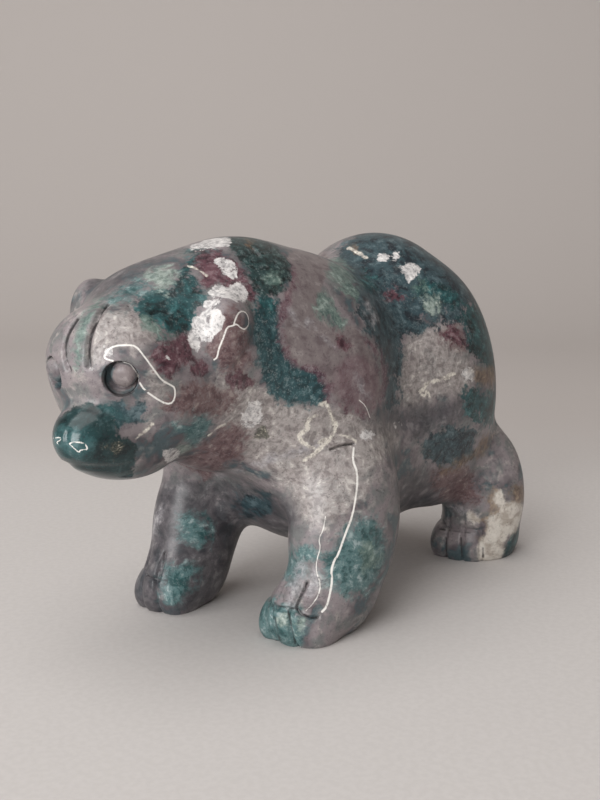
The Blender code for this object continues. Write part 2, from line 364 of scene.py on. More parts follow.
@dataclass(frozen=True)
class Eye:
    """A ball standing in a drilled socket, placed in the head's frame."""

    place: Triple = (6.6, -22.2, -1.3)
    turn: float = 18.0
    down: float = 10.0
    socket: float = 2.8
    depth: float = 2.0
    ball: float = 2.2
    bulge: float = 1.7
    sunk: float = 1.45
    aside: float = 0.35
    rise: float = 0.40
    rim: float = 0.16

    def local(self, points: np.ndarray, side: int) -> np.ndarray:
        """See head points from one eye, its second axis going inward.

        Args:
            points: Points in the head's frame.
            side: One for the left eye, minus one for the right.

        Returns:
            The points in the eye's frame.
        """
        x, y, z = self.place
        return (points - np.array((side * x, y, z))) @ turned(side * self.turn, self.down)

    def sunk_points(self, points: np.ndarray, side: int) -> np.ndarray:
        """Sink head points near one eye onto its socket and ball.

        Args:
            points: Points in the head's frame.
            side: One for the left eye, minus one for the right.

        Returns:
            The points after sinking.
        """
        axes = turned(side * self.turn, self.down)
        local = self.local(points, side)
        across = np.hypot(local[:, 0], local[:, 2])
        from_ball = np.hypot(local[:, 0] - side * self.aside, local[:, 2] - self.rise)
        crown = 1.0 - (from_ball / self.ball) ** 3
        ball = self.sunk - self.bulge * np.sqrt(np.maximum(crown, 0.0))
        floor = self.depth - 0.5 * ramp(across, self.socket - 0.8, self.socket)
        target = np.where(crown > 0.0, np.minimum(ball, floor), floor)
        share = 1.0 - ramp(across, self.socket - self.rim, self.socket + self.rim)
        front = ramp(-local[:, 1], -6.0, -5.0)
        shift = (target - local[:, 1]) * share * front
        return points + shift[:, None] * axes[:, 1]


@dataclass(frozen=True)
class Head:
    """Skull, brow, jaw, cheeks, snout and ears, with the face cut into them."""

    at: Triple = (-1.7, -41.5, 54.5)
    yaw: float = 13.5
    lift: float = 1.5
    skull: Lump = Lump((0.0, 3.0, 2.0), (16.0, 18.5, 15.0))
    brow: Lump = Lump((0.0, -14.0, 0.5), (11.8, 10.5, 10.0))
    jaw: Lump = Lump((0.0, -9.5, -13.7), (8.5, 12.5, 7.0))
    cheek: Lump = Lump((6.5, -4.0, -5.0), (8.5, 13.5, 9.5))
    snout: Lump = Lump((0.0, -16.0, -11.5), (7.5, 12.0, 7.0))
    left_ear: Lump = Lump((15.1, -2.3, 4.7), (3.9, 5.0, 6.3))
    right_ear: Lump = Lump((-14.2, 0.3, 6.8), (3.9, 4.4, 6.4))
    eye: Eye = Eye()
    folds: tuple[tuple[Pair, ...], ...] = (
        ((0.7, 10.0), (1.4, 7.5), (1.5, 5.2), (1.8, 2.9), (2.0, 0.6)),
        ((-2.5, 8.5), (-3.1, 5.6), (-3.3, 3.7), (-2.9, 1.7), (-2.1, -0.3)),
    )
    fold_width: float = 0.75
    fold_depth: float = 0.75
    philtrum: tuple[Pair, ...] = ((0.0, -9.8), (0.0, -13.6))
    philtrum_width: float = 0.8
    philtrum_depth: float = 0.35
    mouth: tuple[Pair, ...] = (
        (-29.0, -13.8), (-25.5, -15.8), (-20.0, -16.6), (-12.0, -14.6))
    mouth_width: float = 0.9
    mouth_depth: float = 0.3
    mouth_corner: float = -12.5
    blend: float = 4.5
    snout_blend: float = 2.5
    ear_blend: float = 3.4

    def axes(self) -> np.ndarray:
        """Give the axes of the head's frame."""
        return turned(self.yaw, -self.lift)

    def local(self, points: np.ndarray) -> np.ndarray:
        """See points in the head's own frame."""
        return (points - np.array(self.at)) @ self.axes()

    def outer(self, points: np.ndarray) -> np.ndarray:
        """Bring points of the head's frame back to the bear's."""
        return points @ self.axes().T + np.array(self.at)

    def lumps(self) -> list[Lump]:
        """Give the head's rounded lumps, without snout and ears."""
        return [self.skull, self.brow, self.jaw, self.cheek, self.cheek.mirrored()]

    def distance(self, points: np.ndarray) -> np.ndarray:
        """Measure the distance to the head, negative inside.

        Args:
            points: Points in millimetres, one a row.

        Returns:
            One distance for each point.
        """
        local = self.local(points)
        first, *others = self.lumps()
        distance = first.distance(local)
        for lump in others:
            distance = joined(distance, lump.distance(local), self.blend)
        distance = joined(distance, self.snout.distance(local), self.snout_blend)
        for ear in (self.left_ear, self.right_ear):
            distance = joined(distance, ear.distance(local), self.ear_blend)
        return distance

    def cut(self, points: np.ndarray) -> np.ndarray:
        """Give the depth of the brow folds, philtrum and mouth.

        Args:
            points: Points in millimetres, one a row.

        Returns:
            One depth for each point.
        """
        x, y, z = self.local(points).T
        front = ramp(-y, 8.0, 14.0)
        face = np.stack((x, z), axis=1)
        folds = sum(bump(path_distance(face, fold), self.fold_width)
                    for fold in self.folds)
        lip = bump(path_distance(face, self.philtrum), self.philtrum_width)
        profile = np.stack((y, z), axis=1)
        mouth = bump(path_distance(profile, self.mouth), self.mouth_width)
        corner = ramp(-y, -self.mouth_corner, 5.0 - self.mouth_corner)
        return front * (
            self.fold_depth * folds
            + self.philtrum_depth * lip * ramp(-y, 22.0, 24.0)
            + self.mouth_depth * mouth * corner)

    def add_to(self, mesh: bmesh.types.BMesh) -> None:
        """Add the head's lumps to a mesh."""
        turn = Matrix(self.axes().tolist()).to_4x4()
        place = Matrix.Translation(Vector(self.at) * MM) @ turn
        for lump in [*self.lumps(), self.snout, self.left_ear, self.right_ear]:
            lump.add_to(mesh, place)


@dataclass(frozen=True)
class Form:
    """The whole bear as one flowing form."""

    torso: Torso = Torso()
    head: Head = Head()
    legs: tuple[Leg, ...] = (
        Leg(Lump((11.5, -14.0, 41.0), (10.5, 15.0, 18.5)),
            Lump((19.0, -12.5, 20.5), (9.0, 13.2, 19.5), -10.0),
            Lump((17.3, -18.0, 5.4), (7.6, 13.0, 8.0)),
            Paw((17.4, -24.3), 3.0, ((-5.4, 0.0), (0.0, 0.0), (4.2, 1.0)), (-2.3, 2.1))),
        Leg(Lump((-13.5, -15.5, 41.5), (10.5, 14.5, 17.0)),
            Lump((-15.0, -17.5, 17.0), (8.0, 10.5, 17.5), -15.0),
            Lump((-14.5, -23.0, 5.5), (6.6, 9.5, 7.5)),
            Paw((-16.0, -27.4), 6.0, ((-3.7, 1.2), (0.0, 0.0), (4.8, 0.2)), (-1.9, 2.4),
                knuckle_depth=0.12)),
        Leg(Lump((11.0, 31.0, 39.5), (12.0, 18.5, 26.0), 5.0),
            Lump((16.0, 45.5, 14.0), (9.5, 9.5, 16.5)),
            Lump((14.0, 47.0, 3.0), (8.5, 11.0, 6.5)),
            Paw((13.5, 39.9), 12.0, ((-4.3, 1.0), (0.0, 0.0), (4.2, 0.9)),
                (-2.1, 2.1, 6.2))),
        Leg(Lump((-11.0, 30.5, 42.0), (12.0, 17.0, 20.0)),
            Lump((-15.0, 34.0, 19.5), (9.0, 11.0, 17.5)),
            Lump((-15.0, 30.0, 4.5), (9.0, 12.0, 7.5)),
            Paw((-15.0, 22.0), -6.0, ((-4.2, 0.9), (0.0, 0.0), (4.3, 1.0)), (-2.1, 2.1))),
    )
    shoulder_blend: float = 6.0
    neck_blend: float = 5.0
    middle: Triple = (1.95, -5.55, 0.0)

    def distance(self, points: np.ndarray) -> np.ndarray:
        """Measure the distance to the carved surface, negative in the stone.

        Args:
            points: Points in millimetres, one a row.

        Returns:
            One distance for each point.
        """
        distance = self.torso.distance(points)
        for leg in self.legs:
            distance = joined(distance, leg.distance(points), self.shoulder_blend)
        distance = joined(distance, self.head.distance(points), self.neck_blend)
        return distance + self.torso.cut(points)

    def engraving(self, points: np.ndarray) -> np.ndarray:
        """Give the depth of the fine cuts of face and paws.

        Args:
            points: Points in millimetres, one a row.

        Returns:
            One depth for each point.
        """
        depth = self.head.cut(points)
        for leg in self.legs:
            depth = depth + leg.paw.cut(points, leg.pad)
        return depth

    def slope(self, points: np.ndarray, here: np.ndarray, step: float = 0.05) -> np.ndarray:
        """Measure the slope of the distance.

        Args:
            points: Points in millimetres, one a row.
            here: The distance at each point.
            step: Length of the measuring step.

        Returns:
            One slope vector for each point.
        """
        columns = [(self.distance(points + axis * step) - here) / step
                   for axis in np.eye(3)]
        return np.stack(columns, axis=1)

    def settled(self, points: np.ndarray, rounds: int) -> np.ndarray:
        """Move points along the slope until they lie on the surface.

        Args:
            points: Points in millimetres, one a row.
            rounds: How many times they are moved.

        Returns:
            The settled points.
        """
        for _ in range(rounds):
            here = self.distance(points)
            slope = self.slope(points, here)
            steep = np.maximum((slope * slope).sum(axis=1), 0.25)
            shift = np.clip(here / steep, -1.0, 1.0)
            points = points - slope * shift[:, None]
        return points

    def rough_mesh(self) -> bmesh.types.BMesh:
        """Put all the lumps of the bear into one overlapping mesh."""
        mesh = bmesh.new()
        self.torso.add_to(mesh)
        for leg in self.legs:
            leg.add_to(mesh)
        self.head.add_to(mesh)
        return mesh


@dataclass(frozen=True)
class Eyeline:
    """The camera: where it stands, how it is turned, and its frame in pixels."""

    place: Triple = (150.05, -187.45, 84.0)
    azimuth: float = 38.6
    down: float = 10.0
    focal: float = 1200.0
    width: int = 600
    height: int = 800
    sensor: float = 36.0

    def axes(self) -> tuple[np.ndarray, np.ndarray, np.ndarray]:
        """Give the camera's right, up and forward directions."""
        turn, drop = np.radians((self.azimuth, self.down))
        forward = np.array((-np.sin(turn) * np.cos(drop),
                            np.cos(turn) * np.cos(drop), -np.sin(drop)))
        right = np.array((np.cos(turn), np.sin(turn), 0.0))
        return right, np.cross(right, forward), forward

    def seen_at(self, points: np.ndarray) -> np.ndarray:
        """Find the pixel at which each point is seen.

        Args:
            points: Points in millimetres, one a row.

        Returns:
            One pixel pair for each point.
        """
        right, up, forward = self.axes()
        away = points - np.array(self.place)
        depth = away @ forward
        return np.stack((
            self.width / 2.0 + self.focal * (away @ right) / depth,
            self.height / 2.0 - self.focal * (away @ up) / depth), axis=1)

    def ray(self, pixel: Pair) -> np.ndarray:
        """Give the direction in which the camera sees a pixel."""
        right, up, forward = self.axes()
        ray = (self.focal * forward + (pixel[0] - self.width / 2.0) * right
               - (pixel[1] - self.height / 2.0) * up)
        return ray / np.linalg.norm(ray)

    def build(self) -> bpy.types.Object:
        """Create the camera and look through it.

        Returns:
            The camera object.
        """
        data = bpy.data.cameras.new("photo_view")
        data.sensor_fit = "AUTO"
        data.sensor_width = self.sensor
        data.lens = self.focal * self.sensor / max(self.width, self.height)
        data.clip_start = 0.01
        data.clip_end = 20.0
        camera = bpy.data.objects.new("photo_view", data)
        right, up, forward = self.axes()
        turn = Matrix(np.stack((right, up, -forward), axis=1).tolist()).to_4x4()
        camera.matrix_world = Matrix.Translation(Vector(self.place) * MM) @ turn
        bpy.context.collection.objects.link(camera)
        bpy.context.scene.camera = camera
        return camera


@dataclass(frozen=True)
class Nick:
    """A chip, pit or crack: a path of pixels, half width and depth."""

    path: tuple[Pair, ...]
    width: float
    depth: float


class Mineral(Enum):
    """The minerals of the stone and the painted shade and highlights; each is kept on the
    mesh as a distance.
    """

    PALE = "pale"
    # Smoke grey stone, partly painted shade under the jaw and belly and along the flank
    # crease
    SMOKE = "smoke_and_shade"
    BROWN = "brown"
    SADDLE = "saddle"
    LOBE = "lobe"
    TEAL = "teal"
    BAND = "band"
    DEEP = "deep"
    LIGHT = "light"
    RIM = "rim"
    MAROON = "maroon"
    HUMP = "hump"
    MINT = "mint"
    # Sage green stone, and one painted glint on a toe
    SAGE = "sage"
    RUST = "rust"
    HAZE = "haze"
    MILK = "milk"
    WHITE = "white"
    SNOUT = "snout"
    # Lighter green with painted highlight on the snout's lit front and top
    BOTTLE_AND_HIGHLIGHT = "bottle_and_highlight"
    GOLD = "gold"
    CREAM_VEIN = "cream_vein"
    # Painted highlight: thin white outlines of reflected light
    HIGHLIGHT_LINE = "highlight_line"
    # Painted shade in grooves, the eye socket and the crack; kept on the mesh as crease
    CREASE = "crease"


@dataclass(frozen=True)
class Patch:
    """A closed outline of one mineral in the photograph's pixels."""

    mineral: Mineral
    corners: tuple[Pair, ...]

    def distance(self, pixels: np.ndarray) -> np.ndarray:
        """Measure the distance to the rounded outline, negative inside.

        Args:
            pixels: Pixels, one a row.

        Returns:
            One distance in pixels for each pixel.
        """
        ring = np.array(self.corners, float)
        for _ in range(2):
            after = np.roll(ring, -1, axis=0)
            ring = np.stack((0.75 * ring + 0.25 * after, 0.25 * ring + 0.75 * after), axis=1)
            ring = ring.reshape(-1, 2)
        return ring_distance(pixels, ring)


@dataclass(frozen=True)
class Streak:
    """A band of one mineral: its path in pixels and half width in pixels."""

    mineral: Mineral
    corners: tuple[Pair, ...]
    half: float

    def distance(self, pixels: np.ndarray) -> np.ndarray:
        """Measure the distance to the band's edge, negative inside."""
        return path_distance(pixels, self.corners) - self.half


@dataclass(frozen=True)
class VeinOrPaintedLine:
    """A fine line on the stone (cream veins, painted highlight lines, painted shade lines):
    its path in pixels, half width in millimetres.
    """

    mineral: Mineral
    path: tuple[Pair, ...]
    half: float

    def rounded(self) -> np.ndarray:
        """Give the path with its corners cut once."""
        path = np.array(self.path)
        start, end = path[:-1], path[1:]
        inner = np.stack((0.75 * start + 0.25 * end, 0.25 * start + 0.75 * end), axis=1)
        return np.vstack((path[:1], inner.reshape(-1, 2), path[-1:]))


# Cuts that are both carved and darkened with painted shade, as pixels of the photograph
CRACK = ((331.0, 449.5), (339.6, 446.2), (346.0, 444.6), (354.0, 443.6))
TOE_SLIT = ((307.0, 583.0), (303.0, 592.0), (299.0, 600.0), (296.5, 607.0))
KNUCKLE = ((297.0, 609.0), (303.0, 614.0), (311.0, 618.0), (318.0, 617.5))
RIGHT_TOE_SLIT = ((165.0, 553.0), (163.0, 565.0), (160.0, 577.0))
RIGHT_KNUCKLE = ((146.0, 574.5), (152.0, 577.5), (159.0, 580.0))


@dataclass
class Carving:
    """The stone bear's own mesh, carved from its form."""

    form: Form
    eyeline: Eyeline
    veins_and_painted_lines: tuple[VeinOrPaintedLine, ...] = ()
    cell: float = 0.85
    rounds: int = 3
    face_front: float = -9.0
    fold_reach: float = 2.4
    lip: Triple = (3.0, -21.0, -8.0)
    eye_reach: float = 4.6
    eye_thick: float = 5.0
    ball_reach: float = 4.0
    rim_reach: float = 0.9
    toe_reach: float = 8.5
    toe_side: float = 7.5
    toe_back: float = 3.5
    nick_reach: float = 1.4
    line_reach: float = 0.9
    finest: float = 0.22
    nicks: tuple[Nick, ...] = (
        Nick(((309.0, 456.7), (321.0, 452.5), (332.0, 449.0)), 0.30, 0.16),
        Nick(CRACK, 0.42, 0.75),
        Nick(((152.0, 313.0), (160.0, 309.0), (168.0, 312.0)), 0.80, 0.55),
        Nick(((252.0, 247.0), (256.0, 251.0), (259.0, 255.0)), 0.70, 0.50),
        Nick(((129.0, 306.0), (129.8, 306.4)), 0.42, 0.45),
        Nick(((109.5, 321.5), (110.5, 322.5)), 0.36, 0.40),
        Nick(((107.0, 330.0), (107.8, 330.4)), 0.34, 0.35),
        Nick(((130.0, 335.0), (130.6, 335.4)), 0.26, 0.25),
        Nick(((157.0, 342.0), (158.0, 342.4)), 0.30, 0.25),
        Nick(((225.0, 262.0), (226.0, 262.6)), 0.30, 0.25),
        Nick(((213.0, 317.0), (213.6, 317.6)), 0.55, 0.30),
        Nick(((377.5, 490.0), (382.5, 492.0)), 0.30, 0.25),
        Nick(TOE_SLIT, 0.60, 0.75),
        Nick(((288.0, 574.0), (284.5, 588.0), (281.5, 602.0)), 0.45, 0.40),
        Nick(((272.0, 604.0), (281.0, 606.5), (289.0, 607.5), (297.0, 609.0)), 0.45, 0.25),
        Nick(KNUCKLE, 0.60, 0.60),
        Nick(RIGHT_TOE_SLIT, 0.50, 0.40),
        Nick(RIGHT_KNUCKLE, 0.50, 0.45),
        Nick(((252.5, 306.0), (256.5, 318.0), (254.5, 333.0), (248.0, 350.0),
              (237.0, 366.0)), 1.3, 0.35),
    )

    def build(self) -> bpy.types.Object:
        """Carve the bear.

        Returns:
            The finished object, without a finish on it.
        """
        self.item = self.fused()
        self.settle(self.rounds)
        self.refine()
        self.engrave()
        self.sink_eyes()
        self.shift_to_middle()
        self.cut_nicks()
        self.flatten()
        self.drop_slivers()
        self.item.data.shade_smooth()
        self.item.data.set_sharp_from_angle(angle=math.radians(60.0))
        return self.item

    def fused(self) -> bpy.types.Object:
        """Fuse the overlapping lumps into one closed skin of even cells."""
        mesh = self.form.rough_mesh()
        data = bpy.data.meshes.new("jasper_bear")
        mesh.to_mesh(data)
        mesh.free()
        item = bpy.data.objects.new("jasper_bear", data)
        bpy.context.collection.objects.link(item)
        remesh = item.modifiers.new("fuse", "REMESH")
        remesh.mode = "VOXEL"
        remesh.voxel_size = self.cell * MM
        graph = bpy.context.evaluated_depsgraph_get()
        baked = bpy.data.meshes.new_from_object(item.evaluated_get(graph))
        item.modifiers.clear()
        item.data = baked
        bpy.data.meshes.remove(data)
        baked.name = "jasper_bear"
        return item

    def points(self) -> np.ndarray:
        """Give the mesh's points in millimetres."""
        places = np.empty(len(self.item.data.vertices) * 3)
        self.item.data.vertices.foreach_get("co", places)
        return places.reshape(-1, 3) / MM

    def place(self, points: np.ndarray) -> None:
        """Put the mesh's points back from millimetres."""
        self.item.data.vertices.foreach_set("co", (points * MM).ravel())
        self.item.data.update()

    def ease(self, chosen: np.ndarray | None = None) -> None:
        """Even out the skin's cells.

        Args:
            chosen: Which points take part, or nothing for all.
        """
        mesh = bmesh.new()
        mesh.from_mesh(self.item.data)
        mesh.verts.ensure_lookup_table()
        corners = list(mesh.verts)
        if chosen is not None:
            corners = [mesh.verts[int(index)] for index in np.flatnonzero(chosen)]
        bmesh.ops.smooth_vert(
            mesh, verts=corners, factor=0.5,
            use_axis_x=True, use_axis_y=True, use_axis_z=True)
        mesh.to_mesh(self.item.data)
        mesh.free()

    def settle(self, rounds: int) -> None:
        """Ease the skin and bring it onto the carved surface."""
        for _ in range(rounds):
            self.ease()
            self.place(self.form.settled(self.points(), 2))

    def zones(self, points: np.ndarray) -> tuple[np.ndarray, np.ndarray]:
        """Find where the skin needs fine and finest cells.

        Args:
            points: Points in millimetres, one a row.

        Returns:
            Two masks: face and toes, and the rims of the eyes.
        """
        head = self.form.head
        local = head.local(points)
        fine = np.zeros(len(points), bool)
        finest = np.zeros(len(points), bool)
        face = np.stack((local[:, 0], local[:, 2]), axis=1)
        front = local[:, 1] < self.face_front
        for fold in head.folds:
            fine |= front & (path_distance(face, fold) < self.fold_reach)
        side, front, height = self.lip
        fine |= ((np.abs(local[:, 0]) < side) & (local[:, 1] < front)
                 & (local[:, 2] < height))
        for side in (1, -1):
            eye = head.eye.local(local, side)
            across = np.hypot(eye[:, 0], eye[:, 2])
            near = np.abs(eye[:, 1]) < self.eye_thick
            fine |= near & (across < self.eye_reach)
            finest |= near & (across < head.eye.socket + self.rim_reach)
        for leg in self.form.legs:
            side, back, height = leg.paw.local(points).T
            fine |= ((np.abs(side) < self.toe_side) & (back < self.toe_back)
                     & (back > -self.toe_reach) & (height < leg.paw.digit_top))
        return fine, finest

    def split(self, chosen: np.ndarray, finest: float = 0.0) -> None:
        """Halve the cells whose corners are all chosen.

        Args:
            chosen: One mask value for each point.
            finest: Edges shorter than this, in millimetres, stay whole.
        """
        mesh = bmesh.new()
        mesh.from_mesh(self.item.data)
        mesh.verts.ensure_lookup_table()
        edges = [edge for edge in mesh.edges
                 if chosen[edge.verts[0].index] and chosen[edge.verts[1].index]
                 and edge.calc_length() > finest * MM]
        bmesh.ops.subdivide_edges(mesh, edges=edges, cuts=1, use_grid_fill=True)
        mesh.to_mesh(self.item.data)
        mesh.free()

    def refine(self) -> None:
        """Make finer cells on the face and toes, and settle them."""
        for level in (0, 1):
            zone = self.zones(self.points())
            self.split(zone[level])
            points = self.points()
            zone = self.zones(points)[level]
            self.ease(zone)
            points = self.points()
            points[zone] = self.form.settled(points[zone], 3)
            self.place(points)
        zone = self.zones(self.points())[1]
        self.split(zone)
        points = self.points()
        zone = self.zones(points)[1]
        points[zone] = self.form.settled(points[zone], 2)
        self.place(points)

    def normals(self) -> np.ndarray:
        """Give the direction that the skin faces at each point."""
        normals = np.empty(len(self.item.data.vertices) * 3)
        self.item.data.vertices.foreach_get("normal", normals)
        return normals.reshape(-1, 3)

    def engrave(self) -> None:
        """Cut folds, mouth, toes and knuckles straight into the skin."""
        points = self.points()
        depth = self.form.engraving(points)
        self.place(points - self.normals() * depth[:, None])

    def sink_eyes(self) -> None:
        """Sink the socket and ball of each eye into the face."""
        head = self.form.head
        points = self.points()
        local = head.local(points)
        for side in (1, -1):
            eye = head.eye.local(local, side)
            across = np.hypot(eye[:, 0], eye[:, 2])
            near = (across < self.ball_reach) & (np.abs(eye[:, 1]) < self.eye_thick)
            local[near] = head.eye.sunk_points(local[near], side)
        moved = np.abs(local - head.local(points)).max(axis=1) > 0.0
        points[moved] = head.outer(local[moved])
        self.place(points)

    def shift_to_middle(self) -> None:
        """Move the bear so that its origin is under its middle."""
        self.place(self.points() - np.array(self.form.middle))

    def tree(self) -> BVHTree:
        """Give a search tree of the mesh in metres."""
        mesh = bmesh.new()
        mesh.from_mesh(self.item.data)
        tree = BVHTree.FromBMesh(mesh)
        mesh.free()
        return tree

    def landed(self, path: Iterable[Pair], tree: BVHTree) -> list[np.ndarray]:
        """Find where the camera's rays through pixels land on the stone.

        Args:
            path: Pixels of the photograph.
            tree: The mesh's search tree.

        Returns:
            The points in millimetres, without rays that miss.
        """
        start = Vector(self.eyeline.place) * MM
        spots = [tree.ray_cast(start, Vector(self.eyeline.ray(pixel)))[0] for pixel in path]
        return [np.array(spot) / MM for spot in spots if spot is not None]

    def cut_nicks(self) -> None:
        """Cut chips, pits and cracks, with finer cells there and along veins and painted
        lines.
        """
        tree = self.tree()
        paths = [self.landed(nick.path, tree) for nick in self.nicks]
        lines = [self.landed(fine_line.path, tree) for fine_line in self.veins_and_painted_lines]
        for reach in (self.nick_reach, self.line_reach):
            points = self.points()
            near = np.zeros(len(points), bool)
            for path in [*paths, *lines]:
                near |= path_distance(points, path) < reach
            self.split(near, self.finest)
        points = self.points()
        normals = self.normals()
        for nick, path in zip(self.nicks, paths):
            profile = bump(path_distance(points, path), nick.width)
            points = points - normals * (nick.depth * profile)[:, None]
        self.place(points)

    def flatten(self) -> None:
        """Cut the feet off level with the ground and close them flat."""
        mesh = bmesh.new()
        mesh.from_mesh(self.item.data)
        bmesh.ops.bisect_plane(
            mesh, geom=mesh.verts[:] + mesh.edges[:] + mesh.faces[:], dist=1e-7,
            plane_co=(0.0, 0.0, 0.0), plane_no=(0.0, 0.0, 1.0), clear_inner=True)
        rim = [edge for edge in mesh.edges if edge.is_boundary]
        filled = bmesh.ops.holes_fill(mesh, edges=rim, sides=0)["faces"]
        bmesh.ops.triangulate(mesh, faces=filled)
        bmesh.ops.recalc_face_normals(mesh, faces=mesh.faces)
        mesh.to_mesh(self.item.data)
        mesh.free()

    def drop_slivers(self) -> None:
        """Drop loose slivers that the level cut may leave beside a toe."""
        mesh = bmesh.new()
        mesh.from_mesh(self.item.data)
        left = set(mesh.verts)
        islands = []
        while left:
            island = {left.pop()}
            waiting = list(island)
            while waiting:
                corner = waiting.pop()
                for edge in corner.link_edges:
                    other = edge.other_vert(corner)
                    if other in left:
                        left.discard(other)
                        island.add(other)
                        waiting.append(other)
            islands.append(island)
        islands.sort(key=len)
        slivers = [corner for island in islands[:-1] for corner in island]
        bmesh.ops.delete(mesh, geom=slivers, context="VERTS")
        mesh.to_mesh(self.item.data)
        mesh.free()


class Sock:
    """A shader socket that takes part in Python arithmetic."""

    def __init__(self, shader: Shader, socket: bpy.types.NodeSocket) -> None:
        """Wrap a socket of a shader."""
        self.shader = shader
        self.socket = socket

    def _math(self, operation: str, first: Value, second: Value) -> Sock:
        """Add one Math node."""
        return self.shader.node(
            "ShaderNodeMath", {"operation": operation}, {0: first, 1: second})

    def __add__(self, other: Value) -> Sock:
        """Add."""
        return self._math("ADD", self, other)

    def __radd__(self, other: Value) -> Sock:
        """Add from the right."""
        return self._math("ADD", other, self)

    def __sub__(self, other: Value) -> Sock:
        """Subtract."""
        return self._math("SUBTRACT", self, other)

    def __rsub__(self, other: Value) -> Sock:
        """Subtract from a value."""
        return self._math("SUBTRACT", other, self)

    def __mul__(self, other: Value) -> Sock:
        """Multiply."""
        return self._math("MULTIPLY", self, other)

    def __rmul__(self, other: Value) -> Sock:
        """Multiply from the right."""
        return self._math("MULTIPLY", other, self)

    def step(self, start: float, end: float) -> Sock:
        """Rise softly from nothing at start to one at end."""
        return self.shader.node(
            "ShaderNodeMapRange", {"interpolation_type": "SMOOTHSTEP"},
            {"Value": self, "From Min": start, "From Max": end})


Value = Sock | float
Colour = tuple[float, float, float]


class Shader:
    """A material's node tree, built from Python expressions."""

    def __init__(self, name: str) -> None:
        """Start an empty material."""
        self.material = bpy.data.materials.new(name)
        self.material.use_nodes = True
        self.tree = self.material.node_tree
        self.tree.nodes.clear()

    def node(self, kind: str, settings: dict, sockets: dict, out: int | str = 0) -> Sock:
        """Add a node.

        Args:
            kind: The node's type.
            settings: Its settings, set first.
            sockets: Values or links by input name or number.
            out: Which output is wanted.

        Returns:
            The wanted output.
        """
        node = self.tree.nodes.new(kind)
        for name, value in settings.items():
            setattr(node, name, value)
        for key, value in sockets.items():
            target = node.inputs[key]
            if isinstance(value, Sock):
                self.tree.links.new(value.socket, target)
            elif isinstance(value, tuple) and target.type == "RGBA":
                target.default_value = (*value, 1.0)
            else:
                target.default_value = value
        return Sock(self, node.outputs[out])

    def attribute(self, name: str) -> Sock:
        """Read a value that is kept on the mesh."""
        return self.node("ShaderNodeAttribute", {"attribute_name": name}, {}, "Fac")

    def millimetres(self) -> Sock:
        """Give the place on the piece in millimetres."""
        place = self.node("ShaderNodeTexCoord", {}, {}, "Object")
        return self.node("ShaderNodeVectorMath", {"operation": "SCALE"},
                         {0: place, "Scale": 1000.0})

    def noise(self, place: Sock, size: float, detail: float = 3.0, rough: float = 0.55,
              seed: float = 0.0, out: int | str = 0) -> Sock:
        """Add cloudy noise.

        Args:
            place: Place in millimetres.
            size: Size of its clouds in millimetres.
            detail: Its layers of finer noise.
            rough: Strength of the finer layers.
            seed: Which pattern it is.
            out: Which output is wanted.

        Returns:
            The noise.
        """
        return self.node(
            "ShaderNodeTexNoise", {"noise_dimensions": "4D"},
            {"Vector": place, "W": seed, "Scale": 1.0 / size, "Detail": detail,
             "Roughness": rough}, out)

    def swirled(self, place: Sock, size: float, reach: float, seed: float) -> Sock:
        """Bend a place by noise.

        Args:
            place: Place in millimetres.
            size: Size of the bends.
            reach: How far they move a place.
            seed: Which pattern it is.

        Returns:
            The bent place.
        """
        bend = self.noise(place, size, 2.0, 0.5, seed, 1)
        bend = self.node("ShaderNodeVectorMath", {"operation": "SUBTRACT"},
                         {0: bend, 1: (0.5, 0.5, 0.5)})
        bend = self.node("ShaderNodeVectorMath", {"operation": "SCALE"},
                         {0: bend, "Scale": 2.0 * reach})
        return self.node("ShaderNodeVectorMath", {"operation": "ADD"}, {0: place, 1: bend})

    def mix(self, share: Value, first: Sock | Colour, second: Sock | Colour) -> Sock:
        """Mix two colours."""
        return self.node("ShaderNodeMix", {"data_type": "RGBA"},
                         {0: share, 6: first, 7: second}, 2)

    def finish(self, surface: Sock) -> bpy.types.Material:
        """Send the surface to the material's output."""
        out = self.tree.nodes.new("ShaderNodeOutputMaterial")
        self.tree.links.new(surface.socket, out.inputs["Surface"])
        return self.material


